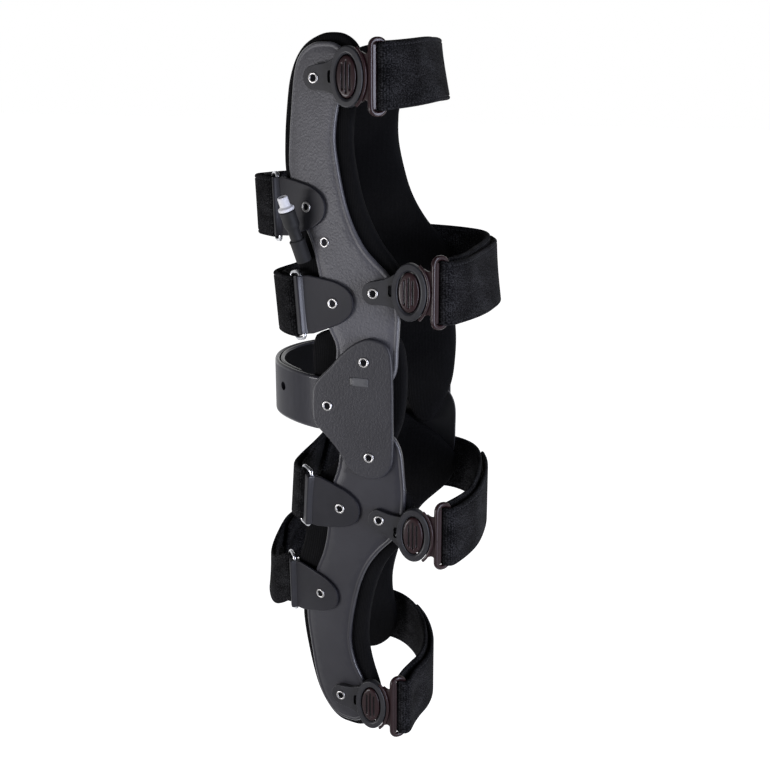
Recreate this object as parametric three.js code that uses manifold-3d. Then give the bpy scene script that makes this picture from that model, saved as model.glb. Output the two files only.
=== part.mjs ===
import * as THREE from 'three';
import { mergeVertices } from 'three/addons/utils/BufferGeometryUtils.js';
import Module from 'manifold-3d';

// Double-upright hinged knee brace, in millimetres, +Z up. The origin is the knee centre,
// midway between the two sides. -Y is the near side, +X is the back of the leg.

// Shell of the brace: the outer face of each side's plates, as a distance from the mid plane
const KNEE_HALF = 57;
const ANKLE_HALF = 46;
const NARROW_FROM_Z = 60;
const NARROW_TO_Z = 225;
const WRAP_START_X = 20;
const WRAP_RADIUS = 200;
const WRAP_FROM_Z = 20;
const WRAP_TO_Z = 120;

// Hinge: two pivots on each side, joined by a cover plate
const UPPER_PIVOT = { x: -1.2, z: 29.1 };
const LOWER_PIVOT = { x: 1.8, z: -30.2 };
const PLATE_END_RADIUS = 20;
const COVER_GAP = 0.3;
const COVER_THICK = 2.5;
const BAND_RIVET = { x: -25, z: 0 };
const PIN_RADIUS = 2.2;
const PIN_HOLE_RADIUS = 2.6;
const PIN_HEAD_RADIUS = 3.7;
const PIN_HEAD_THICK = 0.8;

// Plates and pads; the slack far side leans about its pivots and is a little shorter
const PLATE_THICK = 2.8;
const PAD_GAP = 0.5;
const PAD_THICK = 8;
const FAR_THIGH_LEAN = THREE.MathUtils.degToRad(-2.5);
const FAR_CALF_LEAN = THREE.MathUtils.degToRad(6);
const FAR_THIGH_LENGTH = 0.965;
const FAR_CALF_LENGTH = 0.9;
const SHORTER_FROM_Z = 60;

// Front band of two overlapping strips
const BAND_THICK = 3;
const BAND_HEIGHT = 33;
const BAND_EDGE = 1.3;
const BAND_PITCH = 3.4;
const BAND_STEPS = 14;
const BAND_OUTER_SPAN = [0.01, 0.83];
const BAND_INNER_SPAN = [0.17, 0.99];

// Front brackets: flat tapered plate, rolled edge and wire ring
const BRACKET_LIFT = 0.3;
const BRACKET_THICK = 1.8;
const ROLL_OFFSET = 21;
const ROLL_LENGTH = 35;
const ROLL_RADIUS = 3.3;
const ROLL_BORE = 1.9;
const WIRE_RADIUS = 1.2;
const RING_REACH = 9.5;
const RING_HALF_HEIGHT = 20;
const RING_CORNER = 2.4;
const RING_TURN = THREE.MathUtils.degToRad(28);
const ROLL_SIDES = 8;
const WIRE_SIDES = 4;

// Back buckles: socket with an oval ring, and a plug with a strap loop
const RING_RX = 10.75;
const RING_RZ = 17;
const RING_HOLE_RX = 6.9;
const RING_HOLE_RZ = 12.4;
const RING_MOUTH = 25.4;
const MOUTH_DEPTH = 2;
const SOCKET_NOSE_RADIUS = 7;
const SOCKET_THICK = 4.2;
const TAB_THICK = 2.6;
const SOCKET_LIFT = 0.6;
const NOSE_X = -22.5;
const SLIT_OUTER = { rx: 14.2, rz: 15.6 };
const SLIT_INNER = { rx: 12.4, rz: 14 };
const SLIT_FROM = 0.9 * Math.PI;
const SLIT_TO = 1.1 * Math.PI;
const KNOB_RX = 6.3;
const KNOB_RZ = 11.7;
const KNOB_RISE = 5.6;
const NECK_HEIGHT = 24;
const NECK_WAIST = 22;
const NECK_THICK = 1.5;
const NECK_GAP = 0.4;
const PLUG_LIFT = 0.2;
const NECK_END = 14.5;
const LOOP_TURN = THREE.MathUtils.degToRad(52);
const LOOP_HEIGHT = 43.6;
const LOOP_DEPTH = 11.4;
const LOOP_BAR = 3;
const LOOP_THICK = 3;
const LOOP_CORNER = 2.5;

// Straps
const STRAP_THICK = 2;
const FRONT_STRAP_WIDTH = 34.6;
const BACK_STRAP_WIDTH = 37;
const WIRE_FOLD = 2.7;
const LOOP_FOLD = 3.5;
const FRONT_TAIL = 0.36;
const BACK_TAIL = 0.68;
const TAIL_SPANS = 9;

// One row per section, from the bottom up: height, front edge, back edge
const THIGH_PLATE = [
  { z: 37, left: -20.5, right: 18.9 },
  { z: 47, left: -25.5, right: 19.5 },
  { z: 58, left: -28.3, right: 19.9 },
  { z: 70, left: -30.8, right: 18.2 },
  { z: 81.7, left: -33.6, right: 13.4 },
  { z: 88, left: -35.4, right: 6.3 },
  { z: 96.5, left: -38.4, right: -2.3 },
  { z: 107, left: -44, right: -8.8 },
  { z: 120, left: -50, right: -14.2 },
  { z: 139, left: -55, right: -18.8 },
  { z: 159, left: -54.3, right: -21.6 },
  { z: 177, left: -52.4, right: -19 },
  { z: 190, left: -50.8, right: -14.5 },
  { z: 200, left: -48.6, right: -12.6 },
  { z: 207, left: -44.5, right: -14.4 },
  { z: 211, left: -38.5, right: -18.4 },
  { z: 212.8, left: -33, right: -23.5 },
];
const THIGH_PAD = [
  { z: 54.6, left: -27.5, right: 22 },
  { z: 70, left: -34, right: 22.4 },
  { z: 80, left: -40, right: 20.5 },
  { z: 88, left: -43.3, right: 15.5 },
  { z: 100, left: -47.6, right: 5.5 },
  { z: 119, left: -55.5, right: -4.5 },
  { z: 138, left: -60, right: -9.6 },
  { z: 157, left: -59.8, right: -12.3 },
  { z: 177, left: -57.8, right: -10.6 },
  { z: 192, left: -55.5, right: -7.2 },
  { z: 204, left: -50.6, right: -6 },
  { z: 211.5, left: -44, right: -9 },
  { z: 216, left: -35.5, right: -14.5 },
  { z: 218, left: -29, right: -20 },
];
const HINGE_PAD = [
  { z: -38.8, left: -0.4, right: 4 },
  { z: -36, left: -4.6, right: 8.2 },
  { z: -29, left: -8.6, right: 11.6 },
  { z: -20, left: -13.4, right: 16 },
  { z: -9, left: -18, right: 20 },
  { z: 6, left: -21, right: 22 },
  { z: 26, left: -23.6, right: 22.4 },
  { z: 40, left: -22, right: 19.8 },
  { z: 47.5, left: -16.4, right: 14 },
  { z: 51.6, left: -9.2, right: 6.8 },
  { z: 52.8, left: -4, right: 1.6 },
];
const CALF_PLATE = [
  { z: -222.5, left: -25.5, right: -15 },
  { z: -219.5, left: -32, right: -10 },
  { z: -212, left: -39.6, right: -5.6 },
  { z: -202, left: -44, right: -4.6 },
  { z: -190, left: -46.8, right: -8.2 },
  { z: -180, left: -48, right: -13.2 },
  { z: -165, left: -49.8, right: -16.4 },
  { z: -150, left: -50.6, right: -15.2 },
  { z: -132, left: -47, right: -11.5 },
  { z: -115, left: -40.5, right: -6.3 },
  { z: -102, left: -34.4, right: 0.1 },
  { z: -91, left: -31, right: 8.5 },
  { z: -84, left: -29.6, right: 15.4 },
  { z: -76, left: -28.6, right: 20.4 },
  { z: -65, left: -27, right: 23.2 },
  { z: -51, left: -24.4, right: 24 },
  { z: -42, left: -20.8, right: 23.2 },
];
const CALF_PAD = [
  { z: -227.5, left: -27, right: -14 },
  { z: -224.5, left: -33.5, right: -8 },
  { z: -217, left: -41, right: -1.6 },
  { z: -207, left: -46.6, right: 2.2 },
  { z: -195, left: -50.2, right: 1 },
  { z: -180, left: -53, right: -3.6 },
  { z: -165, left: -55, right: -6.2 },
  { z: -150, left: -55.4, right: -5.6 },
  { z: -132, left: -52, right: -2.6 },
  { z: -115, left: -45.6, right: 2.6 },
  { z: -102, left: -39.6, right: 8.8 },
  { z: -92, left: -36.4, right: 16 },
  { z: -80, left: -34.2, right: 24.4 },
  { z: -66, left: -32, right: 27.4 },
  { z: -57, left: -30.4, right: 26.4 },
  { z: -51, left: -28.8, right: 19.5 },
  { z: -44, left: -26.6, right: 8 },
  { z: -37, left: -23.4, right: -9 },
  { z: -34, left: -21, right: -15 },
];

// Front brackets: place of the rivet, lean of the top in degrees, and the strap's bulge and sag
const BRACKETS = [
  { name: 'thigh_upper', x: -41.2, z: 118.4, lean: 4, bulge: 12, sag: 0 },
  { name: 'thigh_lower', x: -21.8, z: 63, lean: 8, bulge: 13, sag: 0 },
  { name: 'calf_upper', x: -18.6, z: -66.6, lean: -7, bulge: 8, sag: 2 },
  { name: 'calf_lower', x: -37, z: -131.5, lean: -2, bulge: 13, sag: 10 },
];
const BRACKET_OUTLINE = [
  { z: -17.5, left: -21, right: -15 },
  { z: -11.6, left: -21, right: 5 },
  { z: -6.4, left: -21, right: 11.6 },
  { z: 0, left: -21, right: 13.5 },
  { z: 6.4, left: -21, right: 11.6 },
  { z: 11.6, left: -21, right: 5 },
  { z: 17.5, left: -21, right: -15 },
];

// Back buckles and straps: ring centre, height of the tab's nose above it, how far the strap
// rises to the far side, how far its lower edge stands out past its upper edge, how far it
// lifts at the back, how far its free end hangs, and its way round the back of the leg to the
// far plate (x, y pairs)
const BUCKLES = [
  {
    name: 'thigh_upper', x: -10.7, z: 193.6, drop: -0.8, rise: 1, flare: 8, lift: 4.5, hang: 0,
    way: [[16, -33], [19, 0], [14, 30], [1, 51], [-16, 60.6], [-38, 57.2]],
  },
  {
    name: 'thigh_lower', x: 27.3, z: 73.4, drop: -2.2, rise: 4, flare: 7, lift: 0, hang: 5,
    way: [[50.5, -36], [52.5, 0], [50, 34], [39, 54.5], [20, 62.4], [-6, 62.2]],
  },
  {
    name: 'calf_upper', x: 30.7, z: -76.4, drop: 6.4, rise: 8, flare: 0, lift: 0, hang: 6,
    way: [[53, -38], [54.5, -14], [49, 24], [38, 50.5], [22, 62.6], [-2, 62.4]],
  },
  {
    name: 'calf_lower', x: -1, z: -203.6, drop: -2.2, rise: 17, flare: 0, lift: 0, hang: 7,
    way: [[18.5, -27], [20.5, -4], [13, 20], [-3, 42], [-22, 54], [-44, 50.4]],
  },
];

// Outline of the hinge cover, clockwise from its top
const COVER_OUTLINE = [
  [1.1, 43.6], [9.1, 42.5], [14.3, 38.7], [16.4, 27.4], [16.9, 7], [17, -12], [17, -27.5],
  [15.5, -36], [9.9, -42.3], [3.4, -43.9], [-3.1, -43.4], [-11.6, -39.3], [-17, -30.2],
  [-26, -19.6], [-33.4, -12.7], [-35.1, -6.4], [-34.8, 8.2], [-32.4, 14.7], [-22.1, 25.7],
  [-11, 37.8],
];

const wasm = await Module();
wasm.setup();

const materials = {
  grained_shell: { color: 0x3a3b3d, roughness: 0.55, metalness: 0.05 },
  satin_shell: { color: 0x2f3033, roughness: 0.4, metalness: 0.15 },
  pad_felt: { color: 0x141416, roughness: 0.95, metalness: 0 },
  strap_webbing: { color: 0x17171a, roughness: 0.95, metalness: 0 },
  socket_plastic: { color: 0x4a4a4c, roughness: 0.4, metalness: 0 },
  plug_plastic: { color: 0x4d1f22, roughness: 0.25, metalness: 0 },
  bracket_metal: { color: 0x35363a, roughness: 0.35, metalness: 0.4 },
  steel_wire: { color: 0xb4b6ba, roughness: 0.2, metalness: 1 },
  nickel: { color: 0xb0b0ac, roughness: 0.25, metalness: 1 },
  gloss_band: { color: 0x101012, roughness: 0.2, metalness: 0 },
  valve_white: { color: 0xe4e4e0, roughness: 0.45, metalness: 0 },
  valve_rubber: { color: 0x2a2a2c, roughness: 0.7, metalness: 0 },
};

function piece(name, slot, geometry) {
  const material = new THREE.MeshStandardMaterial({ name: slot, ...materials[slot] });
  const mesh = new THREE.Mesh(geometry, material);
  mesh.name = name;
  return mesh;
}

function weld(geometry) {
  geometry.deleteAttribute('normal');
  geometry.deleteAttribute('uv');
  return mergeVertices(geometry, 1e-4);
}

function toManifold(geometry) {
  const welded = weld(geometry.clone());
  return new wasm.Manifold(new wasm.Mesh({
    numProp: 3,
    vertProperties: new Float32Array(welded.attributes.position.array),
    triVerts: new Uint32Array(welded.index.array),
  }));
}

function toGeometry(manifold) {
  const mesh = manifold.getMesh();
  const geometry = new THREE.BufferGeometry();
  geometry.setAttribute('position', new THREE.BufferAttribute(mesh.vertProperties, 3));
  geometry.setIndex(new THREE.BufferAttribute(mesh.triVerts, 1));
  geometry.computeVertexNormals();
  return geometry;
}

function cut(geometry, ...tools) {
  return toGeometry(tools.reduce((body, tool) => body.subtract(toManifold(tool)), toManifold(geometry)));
}

function join(...geometries) {
  return toGeometry(geometries.map(toManifold).reduce((body, next) => body.add(next)));
}

const smooth = THREE.MathUtils.smoothstep;

function faceAt(x, z) {
  const narrowing = (KNEE_HALF - ANKLE_HALF) * smooth(-z, NARROW_FROM_Z, NARROW_TO_Z);
  const wrap = Math.max(0, WRAP_START_X - x) ** 2 / (2 * WRAP_RADIUS);
  return KNEE_HALF - narrowing - wrap * smooth(Math.abs(z), WRAP_FROM_Z, WRAP_TO_Z);
}

function nearPoint(x, z, lift) {
  return new THREE.Vector3(x, -faceAt(x, z) - lift, z);
}

// Half-round end of a plate about its pivot; side is +1 for the top end, -1 for the bottom
function roundEnd(pivot, side) {
  return [80, 58, 36, 14].map((degrees) => {
    const angle = THREE.MathUtils.degToRad(degrees);
    const half = PLATE_END_RADIUS * Math.cos(angle);
    const z = pivot.z + side * PLATE_END_RADIUS * Math.sin(angle);
    return { z, left: pivot.x - half, right: pivot.x + half };
  });
}

// Closed sheet over the shell between two lifts, across the given rows
function shellSheet(rows, inner, outer, columns, place = (x, z) => [x, z]) {
  const points = [];
  const faces = [];
  const width = columns + 1;
  const layer = rows.length * width;
  for (const lift of [outer, inner]) {
    for (const row of rows) {
      for (let j = 0; j < width; j += 1) {
        const [x, z] = place(THREE.MathUtils.lerp(row.left, row.right, j / columns), row.z);
        points.push(...nearPoint(x, z, lift).toArray());
      }
    }
  }
  const quad = (a, b, c, d) => faces.push(a, b, c, a, c, d);
  const at = (i, j) => i * width + j;
  const last = rows.length - 1;
  for (let i = 0; i < last; i += 1) {
    for (let j = 0; j < columns; j += 1) {
      quad(at(i, j), at(i, j + 1), at(i + 1, j + 1), at(i + 1, j));
      quad(layer + at(i, j), layer + at(i + 1, j), layer + at(i + 1, j + 1), layer + at(i, j + 1));
    }
    quad(at(i, 0), at(i + 1, 0), layer + at(i + 1, 0), layer + at(i, 0));
    quad(at(i, columns), layer + at(i, columns), layer + at(i + 1, columns), at(i + 1, columns));
  }
  for (let j = 0; j < columns; j += 1) {
    quad(at(0, j), layer + at(0, j), layer + at(0, j + 1), at(0, j + 1));
    quad(at(last, j), at(last, j + 1), layer + at(last, j + 1), layer + at(last, j));
  }
  const geometry = new THREE.BufferGeometry();
  geometry.setAttribute('position', new THREE.Float32BufferAttribute(points, 3));
  geometry.setIndex(faces);
  geometry.computeVertexNormals();
  return geometry;
}

// Cylinder across the brace, from one distance off the mid plane to another on the near side
function crossCylinder(point, radius, from, to, sides = 10) {
  const geometry = new THREE.CylinderGeometry(radius, radius, to - from, sides);
  return geometry.translate(point.x, -(from + to) / 2, point.z);
}

function ellipsePoints(cx, cy, rx, ry, count) {
  return new THREE.EllipseCurve(cx, cy, rx, ry, 0, 2 * Math.PI).getPoints(count).slice(0, count);
}

// Outline that wraps tightly round a set of points
function hull(points) {
  const sorted = [...points].sort((a, b) => a.x - b.x || a.y - b.y);
  const half = (list) => {
    const chain = [];
    for (const p of list) {
      while (chain.length > 1) {
        const a = chain[chain.length - 2];
        const b = chain[chain.length - 1];
        if ((b.x - a.x) * (p.y - a.y) - (b.y - a.y) * (p.x - a.x) > 1e-9) break;
        chain.pop();
      }
      chain.push(p);
    }
    return chain.slice(0, -1);
  };
  return [...half(sorted), ...half(sorted.reverse())];
}

function slab(outline, from, to) {
  const shape = new THREE.Shape(outline);
  return new THREE.ExtrudeGeometry(shape, { depth: to - from, bevelEnabled: false }).translate(0, 0, from);
}

// Strap as a ruled ribbon between a lower and an upper line of the same number of points
function ribbon(lower, upper, thick) {
  const points = [];
  const faces = [];
  const side = (line, i) => {
    const before = line[Math.max(0, i - 1)];
    const after = line[Math.min(line.length - 1, i + 1)];
    const along = new THREE.Vector3().subVectors(after, before).setZ(0).normalize();
    return new THREE.Vector3(along.y, -along.x, 0).multiplyScalar(thick / 2);
  };
  lower.forEach((low, i) => {
    const high = upper[i];
    points.push(...low.clone().add(side(lower, i)).toArray());
    points.push(...low.clone().sub(side(lower, i)).toArray());
    points.push(...high.clone().sub(side(upper, i)).toArray());
    points.push(...high.clone().add(side(upper, i)).toArray());
  });
  for (let i = 0; i < lower.length - 1; i += 1) {
    for (let k = 0; k < 4; k += 1) {
      const a = 4 * i + k;
      const b = 4 * i + ((k + 1) % 4);
      faces.push(a, b, a + 4, b, b + 4, a + 4);
    }
  }
  const end = 4 * (lower.length - 1);
  faces.push(0, 2, 1, 0, 3, 2);
  faces.push(end, end + 1, end + 2, end, end + 2, end + 3);
  const geometry = new THREE.BufferGeometry();
  geometry.setAttribute('position', new THREE.Float32BufferAttribute(points, 3));
  geometry.setIndex(faces);
  geometry.computeVertexNormals();
  return geometry;
}

// Points beside a line in plan, on its left-hand side for a positive distance
function beside(curve, from, to, count, distance) {
  const points = [];
  for (let i = 0; i <= count; i += 1) {
    const t = THREE.MathUtils.lerp(from, to, i / count);
    const along = curve.getTangentAt(t).setZ(0).normalize();
    points.push(curve.getPointAt(t).add(new THREE.Vector3(-along.y, along.x, 0).multiplyScalar(distance)));
  }
  return points;
}

// Half turn of the strap round a bar, from one side of the line to the other
function foldAround(centre, along, radius) {
  const left = new THREE.Vector3(-along.y, along.x, 0);
  return [0.2, 0.4, 0.6, 0.8].map((part) => centre.clone()
    .addScaledVector(left, radius * Math.cos(Math.PI * part))
    .addScaledVector(along, -Math.abs(radius) * Math.sin(Math.PI * part)));
}

// Place on the shell with axes along the leg's back, up and outward
function shellFrame(x, z, lift, upright) {
  const step = 0.5;
  const across = nearPoint(x + step, z, 0).sub(nearPoint(x - step, z, 0)).normalize();
  const rise = nearPoint(x, z + step, 0).sub(nearPoint(x, z - step, 0)).normalize();
  const up = upright ? new THREE.Vector3(0, 0, 1) : rise;
  const out = new THREE.Vector3().crossVectors(across, up).normalize();
  const back = new THREE.Vector3().crossVectors(up, out);
  return new THREE.Matrix4().makeBasis(back, up, out).setPosition(nearPoint(x, z, lift));
}

// Far pieces are mirrored, and drawn about the pivot that their leaning group is placed on
const brace = new THREE.Group();
brace.name = 'hinged_knee_brace';
const pivots = { thigh: UPPER_PIVOT, calf: LOWER_PIVOT, link: { x: 0, z: 0 } };
const leans = { thigh: FAR_THIGH_LEAN, calf: FAR_CALF_LEAN, link: 0 };
const nearSide = new THREE.Group();
const farSide = new THREE.Group();
farSide.scale.y = -1;
brace.add(nearSide, farSide);
const farGroups = {};
for (const part of ['thigh', 'calf', 'link']) {
  const group = new THREE.Group();
  group.position.set(pivots[part].x, 0, pivots[part].z);
  group.rotation.y = leans[part];
  farSide.add(group);
  farGroups[part] = group;
}
brace.updateMatrixWorld(true);

function addTo(side, part, mesh) {
  if (side === 'near') {
    nearSide.add(mesh);
    return;
  }
  mesh.geometry.translate(-pivots[part].x, 0, -pivots[part].z);
  farGroups[part].add(mesh);
}

// Place of a near side point's partner on the far side
function farPartner(part, point) {
  const local = new THREE.Vector3(point.x - pivots[part].x, point.y, point.z - pivots[part].z);
  return farGroups[part].localToWorld(local);
}

// Rows of a side's plate or pad, with the far one's length
function sideRows(table, side, length) {
  const share = side === 'far' ? length : 1;
  return table.map((row) => {
    const past = Math.max(0, Math.abs(row.z) - SHORTER_FROM_Z) * (1 - share);
    return { ...row, z: row.z - Math.sign(row.z) * past };
  });
}

const innerFace = KNEE_HALF - PLATE_THICK;
const coverInner = KNEE_HALF + COVER_GAP;
const coverOuter = coverInner + COVER_THICK;
const pinHole = (point) => crossCylinder(point, PIN_HOLE_RADIUS, 40, 70);

function pin(point, inner) {
  const head = coverOuter + COVER_GAP;
  return join(
    crossCylinder(point, PIN_RADIUS, inner, head + PIN_HEAD_THICK / 4),
    crossCylinder(point, PIN_HEAD_RADIUS, head, head + PIN_HEAD_THICK, 14),
  );
}

// Plates, pads, cover and pins of each side
for (const side of ['near', 'far']) {
  const padOuter = -PLATE_THICK - PAD_GAP;
  const padInner = padOuter - PAD_THICK;
  const thighRows = [...roundEnd(UPPER_PIVOT, -1), ...sideRows(THIGH_PLATE, side, FAR_THIGH_LENGTH)];
  const thigh = cut(shellSheet(thighRows, -PLATE_THICK, 0, 3), pinHole(UPPER_PIVOT));
  addTo(side, 'thigh', piece(`thigh_plate_${side}`, 'grained_shell', thigh));
  const thighPad = shellSheet(sideRows(THIGH_PAD, side, FAR_THIGH_LENGTH), padInner, padOuter, 3);
  addTo(side, 'thigh', piece(`thigh_pad_${side}`, 'pad_felt', thighPad));

  const calfRows = [...sideRows(CALF_PLATE, side, FAR_CALF_LENGTH), ...roundEnd(LOWER_PIVOT, 1).reverse()];
  const calf = cut(shellSheet(calfRows, -PLATE_THICK, 0, 3), pinHole(LOWER_PIVOT));
  addTo(side, 'calf', piece(`calf_plate_${side}`, 'satin_shell', calf));
  const calfPad = shellSheet(sideRows(CALF_PAD, side, FAR_CALF_LENGTH), padInner, padOuter, 3);
  addTo(side, 'calf', piece(`calf_pad_${side}`, 'pad_felt', calfPad));

  const hingePad = shellSheet(HINGE_PAD, padInner, padOuter, 2);
  addTo(side, 'link', piece(`hinge_pad_${side}`, 'pad_felt', hingePad));
  const outline = new THREE.SplineCurve(
    [...COVER_OUTLINE, COVER_OUTLINE[0]].map(([x, z]) => new THREE.Vector2(x, z)),
  ).getPoints(28).slice(1);
  const coverSlab = slab(outline, coverInner, coverOuter).rotateX(Math.PI / 2);
  const cover = cut(coverSlab, pinHole(UPPER_PIVOT), pinHole(LOWER_PIVOT), pinHole(BAND_RIVET));
  addTo(side, 'link', piece(`hinge_cover_${side}`, 'grained_shell', cover));
  addTo(side, 'link', piece(`upper_pin_${side}`, 'nickel', pin(UPPER_PIVOT, innerFace)));
  addTo(side, 'link', piece(`lower_pin_${side}`, 'nickel', pin(LOWER_PIVOT, innerFace)));
  addTo(side, 'link', piece(`band_rivet_${side}`, 'nickel', pin(BAND_RIVET, KNEE_HALF - BAND_THICK)));
}

// Front band: the outer strip is riveted to the near cover and the inner one to the far cover
const bandNear = KNEE_HALF - BAND_THICK / 2 - BAND_PITCH / 2;
const bandFar = KNEE_HALF - BAND_THICK / 2 + BAND_PITCH / 2;
const bandLine = new THREE.CatmullRomCurve3([
  [-20, -bandNear], [-34, -bandNear + 1.2], [-54, -42.5], [-71, -26], [-79.5, 0],
  [-73.5, 27], [-56, 46.5], [-35, bandFar - 0.6], [-20, bandFar],
].map(([x, y]) => new THREE.Vector3(x, y, 0)), false, 'centripetal');

function bandStrip([from, to], distance) {
  const half = (BAND_THICK - 2 * BAND_EDGE) / 2;
  const left = beside(bandLine, from, to, BAND_STEPS, distance + half);
  const right = beside(bandLine, from, to, BAND_STEPS, distance - half).reverse();
  const shape = new THREE.Shape([...left, ...right].map((p) => new THREE.Vector2(p.x, p.y)));
  return new THREE.ExtrudeGeometry(shape, {
    depth: BAND_HEIGHT - 2 * BAND_EDGE,
    bevelThickness: BAND_EDGE,
    bevelSize: BAND_EDGE,
    bevelSegments: 1,
  }).translate(0, 0, -BAND_HEIGHT / 2 + BAND_EDGE);
}

const nearHole = pinHole(BAND_RIVET);
const farHole = pinHole(BAND_RIVET).rotateX(Math.PI);
const bandOuter = cut(bandStrip(BAND_OUTER_SPAN, BAND_PITCH / 2), nearHole);
const bandInner = cut(bandStrip(BAND_INNER_SPAN, -BAND_PITCH / 2), farHole);
brace.add(piece('band_outer', 'gloss_band', bandOuter));
brace.add(piece('band_inner', 'gloss_band', bandInner));

// Front brackets with their wire rings, and the strap through each pair of rings
for (const row of BRACKETS) {
  const part = row.name.startsWith('calf') ? 'calf' : 'thigh';
  const lean = THREE.MathUtils.degToRad(row.lean);
  const place = (x, z) => [
    row.x + x * Math.cos(lean) - z * Math.sin(lean),
    row.z + x * Math.sin(lean) + z * Math.cos(lean),
  ];
  const rollAt = (z) => nearPoint(...place(-ROLL_OFFSET, z), BRACKET_LIFT + BRACKET_THICK / 2);
  const rollLow = rollAt(-ROLL_LENGTH / 2);
  const rollHigh = rollAt(ROLL_LENGTH / 2);
  const up = new THREE.Vector3().subVectors(rollHigh, rollLow).normalize();
  const middle = new THREE.Vector3().addVectors(rollLow, rollHigh).multiplyScalar(0.5);
  const inward = nearPoint(...place(-ROLL_OFFSET, 0), 0).sub(nearPoint(...place(-ROLL_OFFSET + 4, 0), 0));
  const forward = inward.applyAxisAngle(up, -RING_TURN);
  const out = new THREE.Vector3().crossVectors(forward, up).negate().normalize();
  forward.crossVectors(out, up).normalize();
  const frame = new THREE.Matrix4().makeBasis(forward, up, new THREE.Vector3().crossVectors(forward, up));
  frame.setPosition(middle);

  const tube = (radius, length, sides) => new THREE.CylinderGeometry(radius, radius, length, sides);
  const roll = tube(ROLL_RADIUS, ROLL_LENGTH, ROLL_SIDES).applyMatrix4(frame);
  const bore = tube(ROLL_BORE, ROLL_LENGTH + 4, 6).applyMatrix4(frame);
  const lug = shellSheet(BRACKET_OUTLINE, BRACKET_LIFT, BRACKET_LIFT + BRACKET_THICK, 2, place);
  const bracket = cut(join(lug, roll), bore);

  const turnCentre = RING_HALF_HEIGHT - RING_CORNER;
  const ringPoints = [[0, -1], [1, -1], [1, 1], [0, 1]].flatMap(([reach, level], k) => {
    const centreX = reach ? RING_REACH - RING_CORNER : RING_CORNER;
    const corner = [0, 0.5, 1].map((share) => {
      const angle = (k * 0.5 + share * 0.5 - 1) * Math.PI;
      const x = centreX + RING_CORNER * Math.cos(angle);
      return new THREE.Vector3(x, level * turnCentre + RING_CORNER * Math.sin(angle), 0);
    });
    const upright = (share) => new THREE.Vector3(reach * RING_REACH, -level * share * turnCentre, 0);
    return k % 2 ? [...corner, ...[-0.5, 0, 0.5].map(upright)] : corner;
  });
  const ringCurve = new THREE.CatmullRomCurve3(ringPoints, true, 'centripetal');
  const ring = new THREE.TubeGeometry(ringCurve, 18, WIRE_RADIUS, WIRE_SIDES, true).applyMatrix4(frame);

  for (const side of ['near', 'far']) {
    addTo(side, part, piece(`${row.name}_bracket_${side}`, 'bracket_metal', bracket.clone()));
    addTo(side, part, piece(`${row.name}_ring_${side}`, 'steel_wire', weld(ring.clone())));
  }

  const lines = [-FRONT_STRAP_WIDTH / 2, FRONT_STRAP_WIDTH / 2].map((level) => {
    const near = new THREE.Vector3(RING_REACH, level, 0).applyMatrix4(frame);
    const far = farPartner(part, near);
    const front = Math.min(near.x, far.x) - row.bulge - 1;
    const curve = new THREE.CatmullRomCurve3([
      near,
      new THREE.Vector3(near.x - row.bulge, near.y * 0.76, near.z - 0.7 * row.sag),
      new THREE.Vector3(front, 0, (near.z + far.z) / 2 - 0.8 * row.sag),
      new THREE.Vector3(far.x - row.bulge, far.y * 0.76, far.z - 0.3 * row.sag),
      far,
    ], false, 'centripetal');
    const startTangent = curve.getTangentAt(0).setZ(0).normalize();
    const endTangent = curve.getTangentAt(1).setZ(0).normalize();
    return [
      ...beside(curve, FRONT_TAIL, 0, 5, -WIRE_FOLD),
      ...foldAround(near, startTangent, -WIRE_FOLD),
      ...beside(curve, 0, 1, 12, WIRE_FOLD),
      ...foldAround(far, endTangent.clone().negate(), -WIRE_FOLD),
      ...beside(curve, 1, 1 - FRONT_TAIL, 5, -WIRE_FOLD),
    ];
  });
  brace.add(piece(`${row.name}_front_strap`, 'strap_webbing', ribbon(lines[0], lines[1], STRAP_THICK)));
}

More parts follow.
